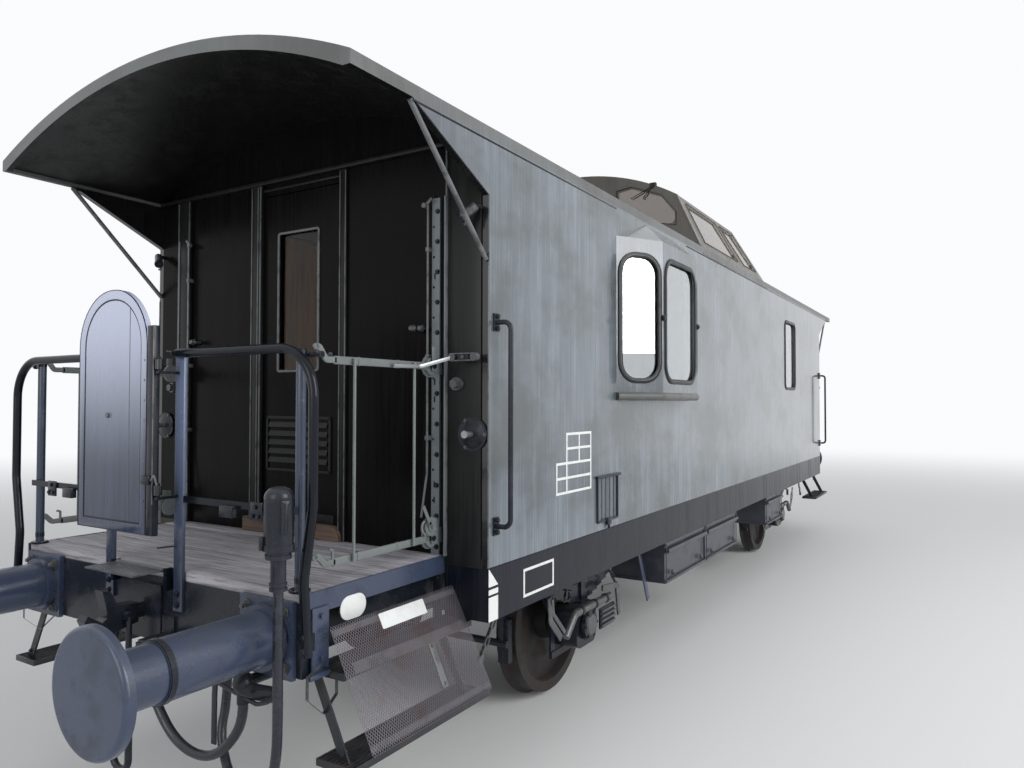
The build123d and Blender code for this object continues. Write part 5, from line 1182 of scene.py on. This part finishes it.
add_bar(stay, [(-2.345, -1.2, 0.985), (-2.127, -1.2, 0.52)], 0.01, 0.05, Y, 0.002)
make_piece("skirt_stays", stay, "edge_paint", BOTH_SIDES)

# Equipment boxes: ledges, lips, hinges and catches
trim = bmesh.new()
for start, end in ((-2.07, -1.07), (-1.036, -0.036), (1.25, 2.05)):
    add_bar(trim, [(start + 0.01, -1.338, 0.898), (end - 0.01, -1.338, 0.898)], 0.026, 0.03, Y, 0.008)
    add_block(trim, (start + 0.02, -1.331, 0.868), (end - 0.02, -1.324, 0.884), 0.002)
    add_block(trim, (start, -1.334, 0.645), (end, -1.324, 0.664), 0.003)
    for x in (start + 0.004, end - 0.016):
        add_block(trim, (x, -1.331, 0.664), (x + 0.012, -1.324, 0.95), 0.002)
    for x in (start + 0.14, end - 0.14):
        add_block(trim, (x - 0.022, -1.342, 0.69), (x + 0.022, -1.328, 0.73), 0.003)
        add_rod(trim, (x, -1.336, 0.7), (x, -1.352, 0.7), 0.008, 12)
make_piece("box_trim", trim, "box_paint")

# Cupola: pane rims, corner strips, gaskets, and the wipers with their motors
CUPOLA_LEAN = 0.4519
CUPOLA_SHOULDER = (1.095, 3.968)
CUPOLA_OUT = Vector((0, -1, CUPOLA_LEAN)).normalized()


def on_cupola_side(x, z, out=0.0):
    reach, height = CUPOLA_SHOULDER
    return Vector((x, -(reach + (height - z) * CUPOLA_LEAN), z)) + CUPOLA_OUT * out


rims = bmesh.new()
for outline in (((-0.965, 3.915), (-0.04, 3.915), (0.226, 3.537), (-0.915, 3.537)),
                ((0.098, 3.915), (0.598, 3.915), (0.966, 3.537), (0.45, 3.537))):
    add_rim(rims, [on_cupola_side(x, z) for x, z in outline], 0.018, CUPOLA_OUT * 0.008, 0.003)
add_bar(rims, [on_cupola_side(-1.142, 3.47, 0.004), on_cupola_side(-1.142, 3.96, 0.004)], 0.01, 0.034,
        CUPOLA_OUT, 0.003)
make_piece("cupola_rims", rims, "cupola_trim", BOTH_SIDES)
gasket = bmesh.new()
outline = ((-0.515, 3.815), (-0.515, 4.07), (-0.665, 4.09), (-0.96, 3.978), (-1.098, 3.808),
           (-1.098, 3.682))
add_rim(gasket, [(-1.15, y, z) for y, z in outline], 0.024, (-0.014, 0, 0), 0.004)
make_piece("cupola_gaskets", gasket, "post_paint", BOTH_SIDES)
wiper = bmesh.new()
add_bar(wiper, [(-1.162, -0.662, 3.976), (-1.162, -0.872, 4.066)], 0.006, 0.008, X)
add_bar(wiper, [(-1.16, -0.78, 3.96), (-1.16, -0.862, 4.062)], 0.006, 0.01, X)
add_rod(wiper, (-1.148, -0.866, 4.068), (-1.172, -0.866, 4.068), 0.018, 20)
add_block(wiper, (-1.15, -0.9, 4.066), (-1.11, -0.84, 4.104), 0.004)
make_piece("cupola_wipers", wiper, "black_rubber", BOTH_SIDES)

# The photograph's camera
CAMERA_PLACE = (-7.7945, -3.4199, 2.0696)
CAMERA_YAW, CAMERA_PITCH, CAMERA_ROLL = (math.radians(angle) for angle in (31.518, 1.313, 0.094))
FOCAL_PIXELS = 758.7
IMAGE_WIDTH = 1024
SENSOR_WIDTH = 36.0

data = bpy.data.cameras.new("camera")
data.sensor_fit = "HORIZONTAL"
data.sensor_width = SENSOR_WIDTH
data.lens = FOCAL_PIXELS * SENSOR_WIDTH / IMAGE_WIDTH
data.clip_end = 300.0
camera = new_object("camera", data)
level = math.cos(CAMERA_PITCH)
ahead = Vector((math.cos(CAMERA_YAW) * level, math.sin(CAMERA_YAW) * level, math.sin(CAMERA_PITCH)))
right = Vector((math.sin(CAMERA_YAW), -math.cos(CAMERA_YAW), 0.0))
up = right.cross(ahead)
turned_right = right * math.cos(CAMERA_ROLL) + up * math.sin(CAMERA_ROLL)
turned_up = up * math.cos(CAMERA_ROLL) - right * math.sin(CAMERA_ROLL)
turn = Matrix((turned_right, turned_up, -ahead)).transposed().to_4x4()
camera.matrix_world = Matrix.Translation(CAMERA_PLACE) @ turn
bpy.context.scene.camera = camera

BACKDROP = (0.96, 0.97, 0.98, 1.0)


def seen_rays(tree):
    """1 for what the camera sees, straight, through glass or off gloss."""
    rays = add_node(tree, "LightPath").outputs
    seen = work_out(tree, "MAXIMUM", rays["Is Camera Ray"], rays["Is Transmission Ray"])
    return work_out(tree, "MAXIMUM", seen, rays["Is Glossy Ray"])


# Studio: pale world, two soft lamps and a pale floor
world = bpy.data.worlds.new("studio")
bpy.context.scene.world = world
world.use_nodes = True
tree = world.node_tree
lit = tree.nodes["Background"]
lit.inputs["Color"].default_value = (0.93, 0.96, 1.0, 1.0)
lit.inputs["Strength"].default_value = 0.55
shown = add_node(tree, "Background", {"Color": BACKDROP, "Strength": 1.0})
mixed = add_node(tree, "MixShader", {0: seen_rays(tree), 1: lit.outputs[0], 2: shown.outputs[0]})
tree.links.new(mixed.outputs[0], tree.nodes["World Output"].inputs["Surface"])
for name, place, energy, size in (
    ("side_light", (-3.0, -14.0, 7.5), 1400.0, 9.0),
    ("end_light", (-15.0, -1.0, 5.0), 300.0, 6.0),
):
    lamp = bpy.data.lights.new(name, "AREA")
    lamp.energy = energy
    lamp.size = size
    aim = Vector((-1.0, 0.0, 1.8)) - Vector(place)
    new_object(name, lamp).matrix_world = Matrix.Translation(place) @ turn_to(aim, "-Z")

floor_shape = bmesh.new()
bmesh.ops.create_grid(floor_shape, x_segments=1, y_segments=1, size=90.0)
floor_mesh = bpy.data.meshes.new("floor")
floor_shape.to_mesh(floor_mesh)
floor_shape.free()
new_object("floor", floor_mesh)

# The floor passes into the white of the backdrop further off
tree, shader = new_shader("pale_floor")
shader.inputs["Base Color"].default_value = (0.82, 0.82, 0.81, 1.0)
shader.inputs["Roughness"].default_value = 0.7
reach = add_node(tree, "VectorMath", {0: add_node(tree, "TexCoord").outputs["Object"]}, operation="LENGTH")
fade = times(tree, ramp_between(tree, reach.outputs["Value"], 7.0, 30.0), seen_rays(tree))
glow = add_node(tree, "Emission", {"Color": BACKDROP, "Strength": 1.0})
mixed = add_node(tree, "MixShader", {0: fade, 1: shader.outputs[0], 2: glow.outputs[0]})
tree.links.new(mixed.outputs[0], tree.nodes["Material Output"].inputs["Surface"])
floor_mesh.materials.append(finishes["pale_floor"])

bpy.context.scene.view_settings.view_transform = "Standard"
